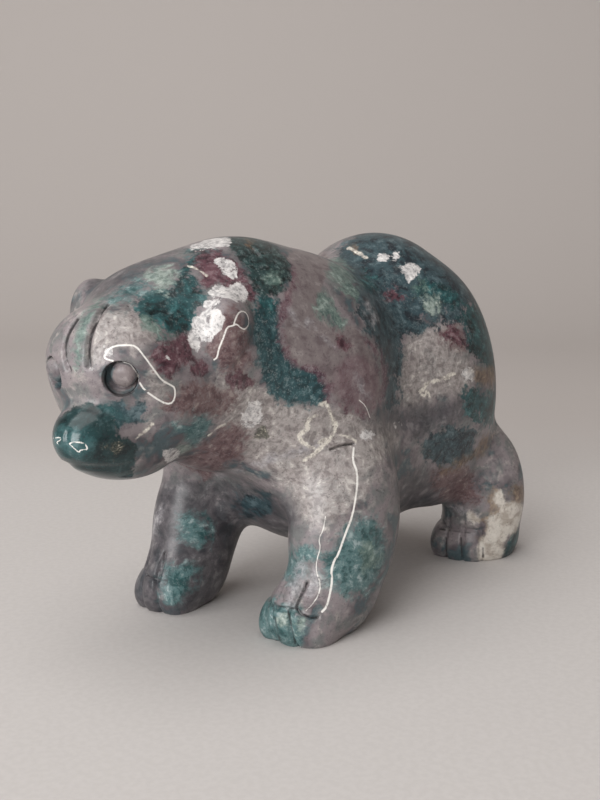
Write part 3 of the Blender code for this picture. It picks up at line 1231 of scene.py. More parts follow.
M = Mineral
# Cream veins, painted highlight lines and painted shade lines
VEINS_AND_PAINTED_LINES = (
    # Painted highlight: thin white outlines of reflected light round the eye, the ear and
    # the nose, on the neck and down the near foreleg
    VeinOrPaintedLine(M.HIGHLIGHT_LINE, (
        (112.8, 360.9), (129.1, 363.0), (134.6, 369.6), (137.8, 375.0), (138.9, 381.5),
        (144.3, 390.2), (161.7, 402.2), (170.4, 404.3), (174.8, 398.9), (175.2, 388.0),
        (170.4, 384.8), (161.7, 380.4), (153.0, 368.5), (144.0, 356.0), (135.7, 345.7),
        (127.0, 345.0), (115.0, 345.7), (107.4, 350.0), (104.1, 355.4), (105.2, 358.7),
        (112.8, 360.9)), 0.15),
    VeinOrPaintedLine(M.HIGHLIGHT_LINE, (
        (214.0, 359.8), (217.2, 357.6), (218.7, 348.9), (221.5, 342.4), (224.8, 333.7),
        (227.0, 327.2), (233.5, 325.4), (236.7, 323.9), (241.1, 328.3), (245.4, 329.3),
        (248.7, 325.0), (248.7, 318.5), (246.5, 313.0), (242.2, 310.9), (238.3, 313.0),
        (235.7, 318.5), (233.9, 323.9)), 0.14),
    VeinOrPaintedLine(M.HIGHLIGHT_LINE, (
        (353.7, 448.0), (352.6, 461.0), (357.4, 472.0), (357.0, 489.3), (352.6, 515.4),
        (345.0, 535.0), (337.4, 556.7), (334.5, 559.5), (331.0, 571.0), (332.3, 580.0),
        (330.0, 593.6), (326.6, 607.0), (322.0, 611.8)), 0.21),
    VeinOrPaintedLine(M.HIGHLIGHT_LINE, (
        (325.5, 516.4), (323.2, 530.0), (318.6, 539.0), (320.5, 548.0), (316.8, 559.5),
        (315.9, 571.0), (320.9, 584.5), (318.2, 596.0), (311.8, 605.0), (306.0, 610.7)),
        0.09),
    VeinOrPaintedLine(M.HIGHLIGHT_LINE, (
        (69.3, 443.7), (72.6, 442.0), (83.5, 442.6), (87.8, 448.0), (85.7, 450.2),
        (80.2, 449.8), (79.1, 452.8), (72.6, 447.0), (69.3, 443.7)), 0.10),
    VeinOrPaintedLine(M.HIGHLIGHT_LINE, (
        (53.0, 438.3), (60.7, 437.2), (60.7, 440.4), (56.3, 442.0), (58.5, 444.8)), 0.10),
    VeinOrPaintedLine(M.HIGHLIGHT_LINE, ((359.0, 400.0), (365.7, 405.7), (370.0, 417.6)), 0.10),
    VeinOrPaintedLine(M.CREAM_VEIN, (
        (320.0, 404.6), (327.6, 403.5), (329.8, 413.3), (336.3, 424.0), (335.2, 432.8),
        (328.7, 441.5), (320.0, 448.0), (311.3, 456.7), (304.8, 460.0)), 0.38),
    VeinOrPaintedLine(M.CREAM_VEIN, (
        (315.7, 415.4), (307.0, 422.0), (308.0, 428.5), (300.4, 433.9), (299.3, 438.3),
        (304.8, 443.7), (313.5, 448.0)), 0.32),
    VeinOrPaintedLine(M.CREAM_VEIN, (
        (318.0, 443.0), (335.2, 435.0), (348.3, 436.0), (355.9, 442.0)), 0.22),
    VeinOrPaintedLine(M.CREAM_VEIN, ((209.6, 435.0), (217.0, 428.0), (224.8, 424.0)), 0.28),
    VeinOrPaintedLine(M.CREAM_VEIN, ((135.7, 439.0), (145.0, 432.0), (153.0, 424.0)), 0.24),
    VeinOrPaintedLine(M.CREAM_VEIN, (
        (422.2, 390.2), (426.5, 383.7), (441.7, 379.3), (454.8, 373.9)), 0.36),
    VeinOrPaintedLine(M.CREAM_VEIN, (
        (420.0, 391.0), (424.0, 398.0), (427.0, 390.0), (430.0, 397.0)), 0.16),
    VeinOrPaintedLine(M.CREAM_VEIN, ((188.0, 266.0), (199.0, 270.0), (207.0, 276.0)), 0.35),
    VeinOrPaintedLine(M.CREAM_VEIN, ((348.3, 247.8), (357.0, 252.0), (365.7, 257.6)), 0.40),
    # Painted shade: dark lines in the eye socket under the ball, along the brow folds, in
    # the crack and in the toe and knuckle grooves
    VeinOrPaintedLine(M.CREASE, ((106.0, 372.0), (105.0, 382.0), (110.0, 391.0), (119.0, 396.0),
                    (129.0, 394.0), (136.0, 387.0), (138.0, 379.0)), 0.30),
    VeinOrPaintedLine(M.CREASE, ((108.0, 305.0), (98.0, 322.0), (91.0, 337.0), (90.0, 352.0),
                    (91.0, 365.0)), 0.26),
    VeinOrPaintedLine(M.CREASE, ((78.0, 320.0), (69.0, 333.0), (66.0, 345.0), (67.0, 357.0),
                    (71.0, 370.0)), 0.18),
    VeinOrPaintedLine(M.CREASE, CRACK, 0.14),
    VeinOrPaintedLine(M.CREASE, TOE_SLIT, 0.22),
    VeinOrPaintedLine(M.CREASE, KNUCKLE, 0.22),
    VeinOrPaintedLine(M.CREASE, ((272.0, 604.0), (281.0, 606.5), (297.0, 609.0)), 0.10),
    VeinOrPaintedLine(M.CREASE, ((273.0, 606.0), (276.0, 622.0), (280.0, 641.0)), 0.14),
    VeinOrPaintedLine(M.CREASE, ((288.0, 610.0), (291.5, 626.0), (295.5, 643.0)), 0.14),
    VeinOrPaintedLine(M.CREASE, RIGHT_KNUCKLE, 0.10),
    VeinOrPaintedLine(M.CREASE, RIGHT_TOE_SLIT, 0.12),
    VeinOrPaintedLine(M.CREASE, ((440.0, 529.0), (452.0, 531.0), (470.0, 533.0)), 0.16),
    VeinOrPaintedLine(M.CREASE, ((446.0, 538.0), (447.0, 557.0)), 0.22),
    VeinOrPaintedLine(M.CREASE, ((461.0, 538.0), (462.0, 557.0)), 0.22),
    VeinOrPaintedLine(M.CREASE, ((483.0, 548.0), (483.0, 557.0)), 0.12),
)
MARKS = (
    # Light and dark grounds; the dark ground is partly painted shade
    Patch(M.PALE, ((92, 334), (101, 310), (112, 303), (131, 308), (142, 318), (162, 329),
                   (162, 338), (149, 347), (136, 345), (112, 347), (103, 357), (92, 357))),
    Patch(M.PALE, ((205, 380), (232, 372), (262, 384), (290, 404), (330, 404), (372, 412),
                   (398, 418), (396, 450), (368, 470), (360, 510), (330, 530), (300, 520),
                   (292, 490), (262, 475), (240, 458), (236, 430), (214, 420), (200, 396))),
    Patch(M.PALE, ((402, 346), (422, 326), (452, 318), (462, 334), (466, 360), (476, 372),
                   (474, 390), (446, 398), (420, 408), (400, 406))),
    Patch(M.PALE, ((193, 560), (205, 556), (210, 570), (200, 576), (192, 570))),
    # Smoke grey stone, partly painted shade: the flank patch and the streak along the flank
    # crease, the patch under the jaw and the patch under the belly
    Patch(M.SMOKE, ((366, 414), (396, 408), (440, 402), (468, 396), (470, 420), (440, 428),
                    (424, 440), (404, 432), (376, 424))),
    Patch(M.SMOKE, ((140, 482), (200, 476), (262, 490), (298, 506), (290, 540), (240, 560),
                    (214, 610), (120, 630), (120, 560))),
    Streak(M.SMOKE, ((378, 430), (396, 424), (418, 414), (442, 410)), 5.0),
    Patch(M.SMOKE, ((396, 470), (446, 466), (446, 512), (396, 520))),
    Patch(M.SMOKE, ((96, 268), (120, 252), (170, 236), (186, 244), (160, 262), (120, 286),
                    (96, 300), (84, 290))),
    Patch(M.BROWN, ((176, 390), (198, 378), (226, 388), (236, 400), (222, 414), (196, 422),
                    (176, 414), (160, 404))),
    Patch(M.BROWN, ((176, 460), (192, 446), (212, 433), (230, 423), (246, 430), (240, 446),
                    (244, 458), (228, 468), (214, 476), (196, 470), (181, 465))),
    Patch(M.BROWN, ((212, 318), (230, 308), (250, 320), (254, 344), (248, 368), (230, 376),
                    (214, 364), (208, 340))),
    Patch(M.PALE, ((150, 352), (158, 356), (156, 378), (170, 392), (160, 400), (146, 388))),
    Patch(M.BROWN, ((440, 330), (452, 322), (468, 330), (470, 350), (452, 352))),
    Patch(M.BROWN, ((430, 466), (470, 468), (484, 490), (476, 505), (450, 505), (436, 490))),
    # Smooth saddle with its rims
    Patch(M.SADDLE, ((283, 256), (300, 246), (318, 246), (334, 260), (324, 280), (318, 300),
                     (326, 320), (338, 330), (352, 322), (362, 335), (372, 352), (380, 375),
                     (382, 395), (374, 408), (355, 413), (340, 408), (332, 392), (325, 376),
                     (312, 368), (297, 366), (288, 355), (283, 340), (285, 318), (290, 300),
                     (287, 280))),
    Patch(M.LOBE, ((336, 366), (352, 352), (372, 360), (380, 384), (374, 404), (356, 410),
                   (342, 402), (334, 386))),
    Streak(M.RIM, ((366, 338), (375, 348), (381, 360), (384, 381), (380, 402), (368, 412),
                   (350, 413), (336, 404)), 2.6),
    Streak(M.RIM, ((284, 260), (291, 272), (293, 286), (287, 302), (283, 316)), 4.2),
    Streak(M.RIM, ((280, 308), (282, 342), (288, 357), (298, 366), (312, 369), (322, 377),
                   (329, 390), (328, 402)), 2.4),
    # Teal, from deep to light
    Patch(M.TEAL, ((336, 250), (352, 236), (365, 216), (400, 218), (436, 232), (456, 262),
                   (472, 286), (490, 310), (470, 306), (452, 312), (430, 320), (416, 322),
                   (406, 332), (400, 345), (402, 358), (398, 374), (396, 392), (395, 405),
                   (387, 414), (381, 409), (384, 395), (382, 370), (377, 350), (368, 335),
                   (360, 320), (354, 306), (350, 290), (344, 272))),
    Patch(M.TEAL, ((426, 441), (435, 433), (455, 428), (470, 426), (476, 437), (474, 450),
                   (466, 461), (448, 468), (435, 463), (424, 457))),
    Patch(M.TEAL, ((127, 410), (135, 402), (144, 404), (143, 416), (134, 422), (127, 418))),
    Patch(M.TEAL, ((110, 403), (124, 398), (132, 406), (130, 424), (116, 427), (108, 415))),
    Patch(M.TEAL, ((234, 498), (255, 495), (277, 500), (277, 515), (255, 519), (236, 513))),
    Patch(M.BAND, ((253, 303), (267, 300), (279, 305), (280, 323), (281, 342), (287, 357),
                   (297, 367), (312, 369), (322, 376), (329, 390), (328, 402), (318, 407),
                   (303, 403), (290, 405), (277, 401), (266, 388), (260, 372), (255, 352),
                   (252, 330))),
    Patch(M.DEEP, ((252, 292), (264, 294), (278, 298), (280, 312), (262, 316), (252, 308))),
    Patch(M.DEEP, ((134, 297), (144, 292), (162, 290), (175, 284), (181, 264), (192, 250),
                   (214, 247), (225, 253), (214, 260), (201, 266), (192, 271), (199, 282),
                   (207, 292), (207, 300), (201, 308), (194, 319), (190, 329), (179, 336),
                   (168, 342), (155, 338), (162, 329), (149, 316), (138, 314), (134, 305))),
    Patch(M.DEEP, ((462, 306), (476, 300), (494, 312), (506, 340), (506, 376), (486, 370),
                   (474, 356), (464, 334))),
    Patch(M.DEEP, ((414, 283), (430, 279), (448, 290), (460, 298), (448, 308), (430, 306),
                   (424, 296), (414, 292))),
    Patch(M.DEEP, ((364, 272), (376, 274), (378, 290), (368, 292), (362, 282))),
    Patch(M.DEEP, ((466, 386), (480, 388), (504, 396), (504, 420), (478, 424), (468, 410))),
    Patch(M.DEEP, ((518, 526), (530, 526), (524, 548), (511, 556), (500, 557), (506, 541),
                   (512, 533))),
    Patch(M.LIGHT, ((103, 305), (114, 292), (131, 281), (151, 281), (153, 290), (142, 292),
                    (134, 299), (123, 302), (110, 304))),
    Streak(M.MINT, ((98, 302), (85, 322), (78, 346), (79, 364)), 1.5),
    Patch(M.TEAL, ((236, 246), (252, 250), (262, 262), (256, 276), (246, 266))),
    Patch(M.TEAL, ((404, 318), (424, 318), (446, 312), (466, 304), (464, 318), (440, 326),
                   (418, 332), (404, 336))),
    Patch(M.LIGHT, ((348, 525), (371, 516), (382, 530), (387, 548), (387, 571), (378, 587),
                    (364, 596), (346, 596), (334, 589), (323, 578), (319, 559), (330, 550),
                    (341, 541))),
    Patch(M.LIGHT, ((294, 550), (306, 545), (319, 550), (317, 563), (305, 563), (294, 559))),
    Patch(M.LIGHT, ((236, 600), (268, 596), (285, 604), (298, 612), (306, 624), (306, 650),
                    (290, 664), (236, 664))),
    Patch(M.LIGHT, ((288, 552), (298, 556), (306, 566), (302, 580), (292, 584), (284, 572))),
    Patch(M.LIGHT, ((162, 566), (180, 563), (198, 568), (194, 582), (184, 600), (170, 610),
                    (160, 604), (160, 584))),
    Patch(M.LIGHT, ((178, 516), (196, 511), (214, 519), (213, 541), (196, 547), (180, 541))),
    Patch(M.LIGHT, ((168, 426), (181, 425), (192, 418), (205, 416), (213, 424), (207, 435),
                    (192, 447), (183, 441), (179, 435))),
    # Maroon
    Patch(M.MAROON, ((201, 249), (220, 251), (236, 258), (243, 266), (249, 277), (257, 288),
                     (257, 301), (249, 303), (245, 290), (237, 282), (229, 290), (223, 288),
                     (217, 282), (207, 290), (201, 286), (198, 275), (192, 268))),
    Patch(M.MAROON, ((149, 349), (162, 342), (175, 338), (181, 335), (190, 338), (191, 347),
                     (196, 355), (192, 361), (183, 364), (177, 373), (168, 376), (160, 376),
                     (153, 366), (150, 358))),
    Patch(M.MAROON, ((191, 364), (197, 359), (206, 359), (211, 366), (210, 374), (203, 379),
                     (194, 377), (190, 371))),
    Patch(M.MAROON, ((331, 338), (342, 334), (350, 345), (344, 355), (335, 350))),
    Patch(M.MAROON, ((384, 291), (394, 288), (402, 294), (398, 301), (386, 301))),
    Patch(M.MAROON, ((444, 330), (456, 326), (466, 338), (460, 347), (448, 342))),
    Patch(M.MAROON, ((225, 376), (240, 374), (257, 380), (250, 388), (232, 387))),
    # Green hump and sage spots
    Patch(M.HUMP, ((225, 240), (244, 226), (262, 228), (277, 244), (287, 255), (291, 268),
                   (290, 284), (283, 290), (275, 297), (262, 295), (249, 284), (244, 268),
                   (236, 258), (229, 249))),
    Patch(M.SAGE, ((144, 277), (155, 268), (168, 266), (179, 265), (179, 273), (174, 281),
                   (168, 288), (162, 288), (155, 287), (152, 281))),
    Patch(M.MINT, ((315, 301), (323, 294), (332, 299), (341, 313), (347, 324), (343, 330),
                   (335, 328), (329, 320), (320, 315))),
    Patch(M.MINT, ((264, 271), (270, 267), (279, 272), (283, 281), (279, 288), (270, 286),
                   (264, 279))),
    Patch(M.MINT, ((413, 284), (419, 280), (425, 286), (420, 291), (414, 290))),
    Patch(M.MINT, ((357, 550), (365, 537), (376, 540), (380, 556), (374, 570), (362, 573))),
    Patch(M.SAGE, ((421, 299), (436, 296), (444, 303), (438, 314), (424, 316))),
    Patch(M.MINT, ((324, 262), (340, 258), (352, 272), (360, 292), (356, 304), (346, 300),
                   (336, 284))),
    Patch(M.MINT, ((142, 318), (152, 322), (166, 330), (178, 334), (170, 340), (156, 336),
                   (146, 328))),
    Patch(M.SAGE, ((296, 621), (303, 620), (304, 633), (297, 634))),
    Patch(M.SAGE, ((175, 446), (185, 443), (189, 451), (180, 456))),
    # White
    Patch(M.WHITE, ((188, 247), (201, 241), (212, 236), (227, 236), (233, 242), (227, 247),
                    (218, 249), (207, 246), (202, 250), (196, 248))),
    Patch(M.WHITE, ((214, 259), (225, 256), (234, 262), (239, 268), (237, 277), (231, 280),
                    (227, 273), (220, 270), (215, 266))),
    Patch(M.WHITE, ((206, 292), (214, 288), (217, 281), (223, 287), (229, 289), (237, 281),
                    (242, 282), (247, 290), (247, 300), (240, 301), (231, 297), (223, 297),
                    (213, 296))),
    Patch(M.WHITE, ((202, 306), (207, 301), (214, 298), (220, 301), (219, 305), (212, 307),
                    (207, 308))),
    Patch(M.WHITE, ((205, 311), (214, 308), (222, 310), (224, 318), (222, 328), (215, 332),
                    (210, 341), (203, 342), (200, 337), (198, 338), (199, 347), (201, 354),
                    (196, 354), (191, 347), (188, 339), (189, 333), (194, 329), (192, 324),
                    (195, 318), (201, 314))),
    Patch(M.WHITE, ((164, 357), (169, 355), (174, 359), (169, 363), (164, 362))),
    Patch(M.WHITE, ((379, 257), (384, 252), (389, 256), (387, 262), (380, 261))),
    Patch(M.WHITE, ((392, 253), (397, 251), (399, 257), (395, 261))),
    Patch(M.WHITE, ((399, 264), (409, 262), (421, 265), (417, 275), (409, 284), (405, 282),
                    (404, 273))),
    Patch(M.WHITE, ((460, 373), (467, 367), (476, 371), (475, 381), (466, 382))),
    Patch(M.MILK, ((489, 500), (498, 487), (504, 493), (506, 502), (514, 502), (526, 506),
                    (522, 520), (512, 534), (505, 542), (501, 560), (490, 562), (479, 560),
                    (477, 537), (484, 535), (487, 524), (483, 519), (491, 514), (497, 509))),
    Patch(M.WHITE, ((161, 450), (170, 445), (180, 450), (179, 461), (168, 464), (161, 458))),
    Patch(M.WHITE, ((242, 415), (249, 405), (257, 400), (263, 409), (262, 420), (253, 427),
                    (246, 428), (241, 423))),
    Patch(M.WHITE, ((360, 434), (369, 430), (377, 434), (370, 440), (362, 439))),
    Patch(M.WHITE, ((392, 424), (398, 421), (402, 425), (396, 428))),
    Patch(M.MILK, ((466, 512), (474, 514), (481, 519), (477, 524), (469, 520))),
    Patch(M.WHITE, ((104, 350), (109, 347), (114, 352), (110, 358), (105, 357))),
    # Painted highlight: a soft glint on a toe of the near front paw
    Patch(M.SAGE, ((279, 620), (284, 615), (285, 624), (280, 629))),
    Streak(M.RUST, ((444, 472), (455, 468), (466, 459)), 2.6),
    Streak(M.HAZE, ((290, 310), (294, 318), (296, 326)), 1.6),
    Streak(M.HAZE, ((307, 321), (320, 333), (339, 350)), 0.6),
    Streak(M.HAZE, ((357, 375), (361, 385), (366, 396)), 0.6),
    Streak(M.HAZE, ((366, 299), (370, 311), (374, 322)), 1.8),
    Streak(M.HAZE, ((262, 465), (283, 456), (301, 451), (318, 444)), 2.2),
    Streak(M.HAZE, ((218, 476), (236, 470), (258, 463), (276, 457)), 1.6),
    Streak(M.HAZE, ((301, 566), (297, 583), (291, 601)), 3.5),
    Streak(M.HAZE, ((314, 570), (316, 582), (309, 594)), 2.5),
    Streak(M.HAZE, ((150, 535), (156, 521), (160, 508)), 2.0),
    Streak(M.HAZE, ((448, 506), (462, 510), (478, 519)), 2.5),
    Patch(M.WHITE, ((89, 367), (94, 367), (94, 372), (90, 372))),
    # Rust and ochre
    Patch(M.RUST, ((471, 370), (485, 367), (500, 372), (496, 387), (476, 385))),
    Patch(M.RUST, ((512, 484), (530, 486), (530, 502), (514, 500), (506, 492))),
    Patch(M.RUST, ((487, 434), (493, 440), (484, 453), (475, 458), (477, 446))),
    Patch(M.RUST, ((352, 248), (357, 246), (358, 251), (353, 252))),
    Patch(M.RUST, ((247, 241), (250, 240), (251, 244), (248, 245))),
    Streak(M.RUST, ((477, 538), (484, 535), (487, 525), (483, 520), (491, 514), (497, 509),
                    (489, 501), (497, 488)), 1.6),
    # Balls of the eyes
    Patch(M.SADDLE, ((112, 372), (118, 364), (128, 364), (136, 371), (136, 382), (128, 390),
                     (118, 389), (112, 382))),
    # Bottle green snout, round to its far side
    Patch(M.SNOUT, ((24, 435), (56, 418), (68, 411), (83, 405), (101, 403), (114, 409),
                    (116, 422), (119, 437), (134, 439), (138, 448), (136, 459), (133, 467),
                    (133, 477), (123, 484), (105, 492), (83, 492), (60, 484), (30, 470))),
    # Lighter green and painted highlight on the lit front and top of the snout
    Patch(M.BOTTLE_AND_HIGHLIGHT, ((40, 438), (56, 426), (72, 428), (92, 432), (96, 446), (84, 458),
                     (66, 458), (48, 450))),
    Patch(M.BOTTLE_AND_HIGHLIGHT, ((102, 400), (116, 404), (128, 420), (124, 426), (110, 414), (98, 408))),
    Patch(M.GOLD, ((106, 442), (113, 438), (122, 442), (124, 454), (116, 462), (107, 456))),
    Patch(M.GOLD, ((258, 430), (264, 427), (269, 431), (267, 438), (259, 437))),
)


@dataclass(frozen=True)
class Layer:
    """How one mineral looks: its three tones, clouds, edge and speckle."""

    mineral: Mineral
    dark: Colour
    tone: Colour
    pale: Colour
    clouds: float = 2.0
    wander: float = 0.6
    soft: float = 0.25
    cover: float = 1.0
    speckle: float = 0.0
    holes: float = 0.0


LAYERS = (
    Layer(M.PALE, (0.20, 0.175, 0.168), (0.34, 0.308, 0.295), (0.56, 0.525, 0.49),
          1.2, 3.0, 1.8, 0.88, 0.10),
    # Smoke grey stone that also carries painted shade
    Layer(M.SMOKE, (0.036, 0.036, 0.042), (0.080, 0.075, 0.083), (0.19, 0.18, 0.185),
          2.6, 3.0, 1.8, 0.85),
    Layer(M.BROWN, (0.080, 0.036, 0.040), (0.15, 0.090, 0.092), (0.29, 0.23, 0.215),
          1.5, 3.2, 1.2, 0.90, 0.12),
    Layer(M.SADDLE, (0.135, 0.105, 0.110), (0.20, 0.168, 0.168), (0.28, 0.245, 0.24),
          2.6, 0.6, 0.30, 0.95),
    Layer(M.LOBE, (0.13, 0.075, 0.088), (0.19, 0.13, 0.142), (0.27, 0.21, 0.215),
          2.4, 0.9, 0.9, 0.85, 0.10),
    Layer(M.TEAL, (0.008, 0.017, 0.024), (0.030, 0.062, 0.074), (0.095, 0.145, 0.160),
          2.2, 2.6, 0.60, 0.97, 0.10),
    Layer(M.BAND, (0.008, 0.032, 0.038), (0.022, 0.070, 0.080), (0.095, 0.17, 0.18),
          1.2, 1.8, 0.55, 0.97, 0.22),
    Layer(M.DEEP, (0.004, 0.016, 0.018), (0.012, 0.062, 0.067), (0.055, 0.165, 0.17),
          2.2, 2.7, 0.60, 0.97, 0.12),
    Layer(M.LIGHT, (0.016, 0.070, 0.072), (0.080, 0.165, 0.168), (0.29, 0.37, 0.37),
          1.8, 2.8, 1.3, 0.92, 0.15),
    Layer(M.RIM, (0.070, 0.020, 0.036), (0.14, 0.070, 0.088), (0.25, 0.17, 0.18),
          1.0, 1.8, 0.6, 0.80, 0.20),
    Layer(M.MAROON, (0.036, 0.008, 0.015), (0.11, 0.044, 0.058), (0.22, 0.135, 0.15),
          1.5, 2.2, 0.60, 0.92, 0.12),
    Layer(M.HUMP, (0.003, 0.009, 0.009), (0.016, 0.040, 0.040), (0.070, 0.12, 0.115),
          1.3, 1.5, 0.5, 0.97, 0.15),
    Layer(M.MINT, (0.050, 0.10, 0.088), (0.13, 0.195, 0.17), (0.30, 0.38, 0.34),
          1.2, 2.0, 0.8, 0.85, 0.10),
    # Sage green stone, and one painted glint
    Layer(M.SAGE, (0.13, 0.18, 0.16), (0.28, 0.335, 0.30), (0.50, 0.56, 0.51),
          1.1, 2.2, 0.8, 0.88, 0.15),
    Layer(M.HAZE, (0.23, 0.22, 0.235), (0.38, 0.365, 0.38), (0.60, 0.585, 0.58),
          0.7, 1.5, 0.9, 0.72, 0.0, 0.6),
    Layer(M.MILK, (0.42, 0.37, 0.32), (0.64, 0.60, 0.54), (0.74, 0.71, 0.65),
          3.0, 1.0, 0.45, 0.97),
    Layer(M.WHITE, (0.36, 0.35, 0.35), (0.62, 0.60, 0.59), (0.82, 0.80, 0.77),
          0.9, 0.95, 0.14, 0.96, 0.0, 0.75),
    Layer(M.RUST, (0.085, 0.048, 0.030), (0.19, 0.125, 0.080), (0.33, 0.25, 0.17),
          1.2, 1.8, 0.9, 0.80),
    Layer(M.SNOUT, (0.004, 0.014, 0.016), (0.011, 0.034, 0.036), (0.038, 0.076, 0.080),
          3.0, 1.0, 0.40, 0.98),
    # Lighter green with painted highlight
    Layer(M.BOTTLE_AND_HIGHLIGHT, (0.018, 0.055, 0.058), (0.042, 0.105, 0.11), (0.12, 0.21, 0.22),
          2.6, 1.2, 1.3, 0.80),
    Layer(M.GOLD, (0.010, 0.016, 0.014), (0.085, 0.085, 0.065), (0.50, 0.47, 0.38),
          0.4, 2.4, 0.6, 0.80, 0.0, 0.8),
    Layer(M.CREAM_VEIN, (0.34, 0.31, 0.28), (0.66, 0.62, 0.55), (0.90, 0.87, 0.78),
          0.7, 0.70, 0.18, 0.88, 0.0, 0.9),
    # Painted highlight lines
    Layer(M.HIGHLIGHT_LINE, (0.72, 0.70, 0.66), (0.82, 0.80, 0.76), (0.88, 0.86, 0.82),
          2.0, 0.05, 0.05, 0.95),
    # Painted shade for grooves and recesses
    Layer(M.CREASE, (0.010, 0.009, 0.010), (0.020, 0.018, 0.020), (0.05, 0.04, 0.045),
          1.0, 0.20, 0.18, 0.88),
)


@dataclass
class MineralMap:
    """Lays the minerals out on the mesh as signed distances in millimetres."""

    carving: Carving
    marks: tuple[Patch | Streak, ...]
    veins_and_painted_lines: tuple[VeinOrPaintedLine, ...]
    pixels_per_mm: float = 5.5
    margin: float = 16.0
    far: float = 9.0
    grazing: float = 0.12
    lift: float = 0.25
    seed: int = 11
    hidden_spots: int = 7
    scarce: tuple[Mineral, ...] = (M.WHITE, M.MILK, M.GOLD, M.SNOUT, M.HUMP)
    scarce_spots: int = 1
    lobes: int = 4
    spot_gap: float = 4.0
    spot_reach: Pair = (1.2, 5.0)
    spot_shape: Pair = (0.5, 1.7)
    drift: float = 0.9
    shrink: Pair = (0.6, 1.05)
    fade_start: float = 3.0
    fade_rate: float = 1.2

    def build(self) -> None:
        """Keep one distance for each mineral on each point of the mesh."""
        self.points = self.carving.points()
        self.pixels = self.carving.eyeline.seen_at(self.points)
        self.seen = self.find_seen()
        self.follow()
        generator = np.random.default_rng(self.seed)
        for mineral in Mineral:
            if mineral in (Mineral.CREAM_VEIN, Mineral.HIGHLIGHT_LINE, Mineral.CREASE):
                values = self.line_distance(mineral)
            else:
                values = self.patch_distance(mineral)
                spots = self.scarce_spots if mineral in self.scarce else self.hidden_spots
                values = np.minimum(values, self.spot_distance(generator, spots))
            layer = self.carving.item.data.attributes.new(mineral.value, "FLOAT", "POINT")
            layer.data.foreach_set("value", values.astype(np.float32))

    def find_seen(self) -> np.ndarray:
        """Find the points that the camera sees."""
        tree = self.carving.tree()
        eye = Vector(self.carving.eyeline.place) * MM
        normals = self.carving.normals()
        seen = np.zeros(len(self.points), bool)
        toward = np.array(self.carving.eyeline.place) - self.points
        facing = np.einsum("ij,ij->i", toward, normals)
        facing = facing > self.grazing * np.linalg.norm(toward, axis=1)
        for index in np.flatnonzero(facing):
            start = Vector((self.points[index] + self.lift * normals[index]) * MM)
            seen[index] = tree.ray_cast(start, (eye - start).normalized())[0] is None
        return seen

    def follow(self) -> None:
        """Find the nearest seen point, and its distance, for each hidden one."""
        shown = np.flatnonzero(self.seen)
        search = KDTree(len(shown))
        for index in shown:
            search.insert(self.points[index], int(index))
        search.balance()
        self.leader = np.arange(len(self.points))
        self.gap = np.zeros(len(self.points))
        for index in np.flatnonzero(~self.seen):
            _, self.leader[index], self.gap[index] = search.find(self.points[index])

    def patch_distance(self, mineral: Mineral) -> np.ndarray:
        """Measure the distance to a mineral's patches as the camera sees them.

        Args:
            mineral: The mineral.

        Returns:
            One distance for each point of the mesh.
        """
        values = np.full(len(self.points), self.margin)
        for mark in self.marks:
            if mark.mineral is not mineral:
                continue
            low = np.min(mark.corners, axis=0) - self.margin
            high = np.max(mark.corners, axis=0) + self.margin
            near = self.seen & np.all((self.pixels > low) & (self.pixels < high), axis=1)
            values[near] = np.minimum(values[near], mark.distance(self.pixels[near]))
        values = values / self.pixels_per_mm
        return values[self.leader] + self.gap

    def spot_distance(self, generator: np.random.Generator, spots: int) -> np.ndarray:
        """Measure the distance to a mineral's spots on the side away from the camera.

        Args:
            generator: The seeded source of places and sizes.
            spots: How many spots there are.

        Returns:
            One distance for each point of the mesh.
        """
        values = np.full(len(self.points), self.far)
        hidden = np.flatnonzero(self.gap > self.spot_gap)
        for index in generator.choice(hidden, spots, replace=False):
            middle = self.points[index]
            reach = generator.uniform(*self.spot_reach)
            for _ in range(self.lobes):
                shape = generator.uniform(*self.spot_shape, 3)
                away = np.linalg.norm((self.points - middle) * shape, axis=1)
                values = np.minimum(values, away - reach)
                middle = middle + generator.normal(0.0, self.drift * reach, 3)
                reach = reach * generator.uniform(*self.shrink)
        values = np.maximum(values, self.fade_start - self.fade_rate * self.gap)
        return np.where(self.seen, self.far, values)

    def line_distance(self, mineral: Mineral) -> np.ndarray:
        """Measure the distance to the edge of a mineral's fine lines (veins, painted
        highlight lines, painted shade lines).

        Args:
            mineral: The mineral.

        Returns:
            One distance for each point of the mesh.
        """
        values = np.full(len(self.points), self.far)
        tree = self.carving.tree()
        for fine_line in self.veins_and_painted_lines:
            if fine_line.mineral is mineral:
                path = self.carving.landed(fine_line.rounded(), tree)
                values = np.minimum(values, path_distance(self.points, path) - fine_line.half)
        return values


class Mottling:
    """The noises that every part of the finish shares, from clouds to specks."""

    def __init__(self, shader: Shader) -> None:
        """Lay the noises out over the stone."""
        place = shader.millimetres()
        self.bent = shader.swirled(place, 6.0, 2.4, 1.0)
        drawn = shader.node(
            "ShaderNodeMapping", {},
            {"Vector": self.bent, "Rotation": (0.6, 0.0, 0.25), "Scale": (1.0, 0.24, 1.0)})
        self.wide = shader.noise(self.bent, 6.5, 3.0, 0.55, 3.0)
        self.middle = shader.noise(self.bent, 2.4, 3.0, 0.6, 5.0)
        self.fine = shader.noise(place, 0.75, 3.0, 0.6, 7.0)
        self.speck = shader.noise(place, 0.34, 3.0, 0.6, 9.0)
        small = shader.noise(place, 1.1, 4.0, 0.65, 11.0)
        strokes = shader.noise(drawn, 0.9, 4.0, 0.65, 13.0)
        self.cloudy = shader.noise(self.bent, 3.6, 3.0, 0.6, 15.0)
        self.grain = strokes * 0.55 + small * 0.45
        self.edge = ((self.wide - 0.5) * 1.8 + (self.middle - 0.5) * 2.2
                     + (self.fine - 0.5) * 1.2 + (strokes - 0.5) * 1.0)
        frost = self.speck + (self.middle - 0.5) * 0.5 + (small - 0.5) * 0.3
        self.frosted = frost.step(0.53, 0.64)


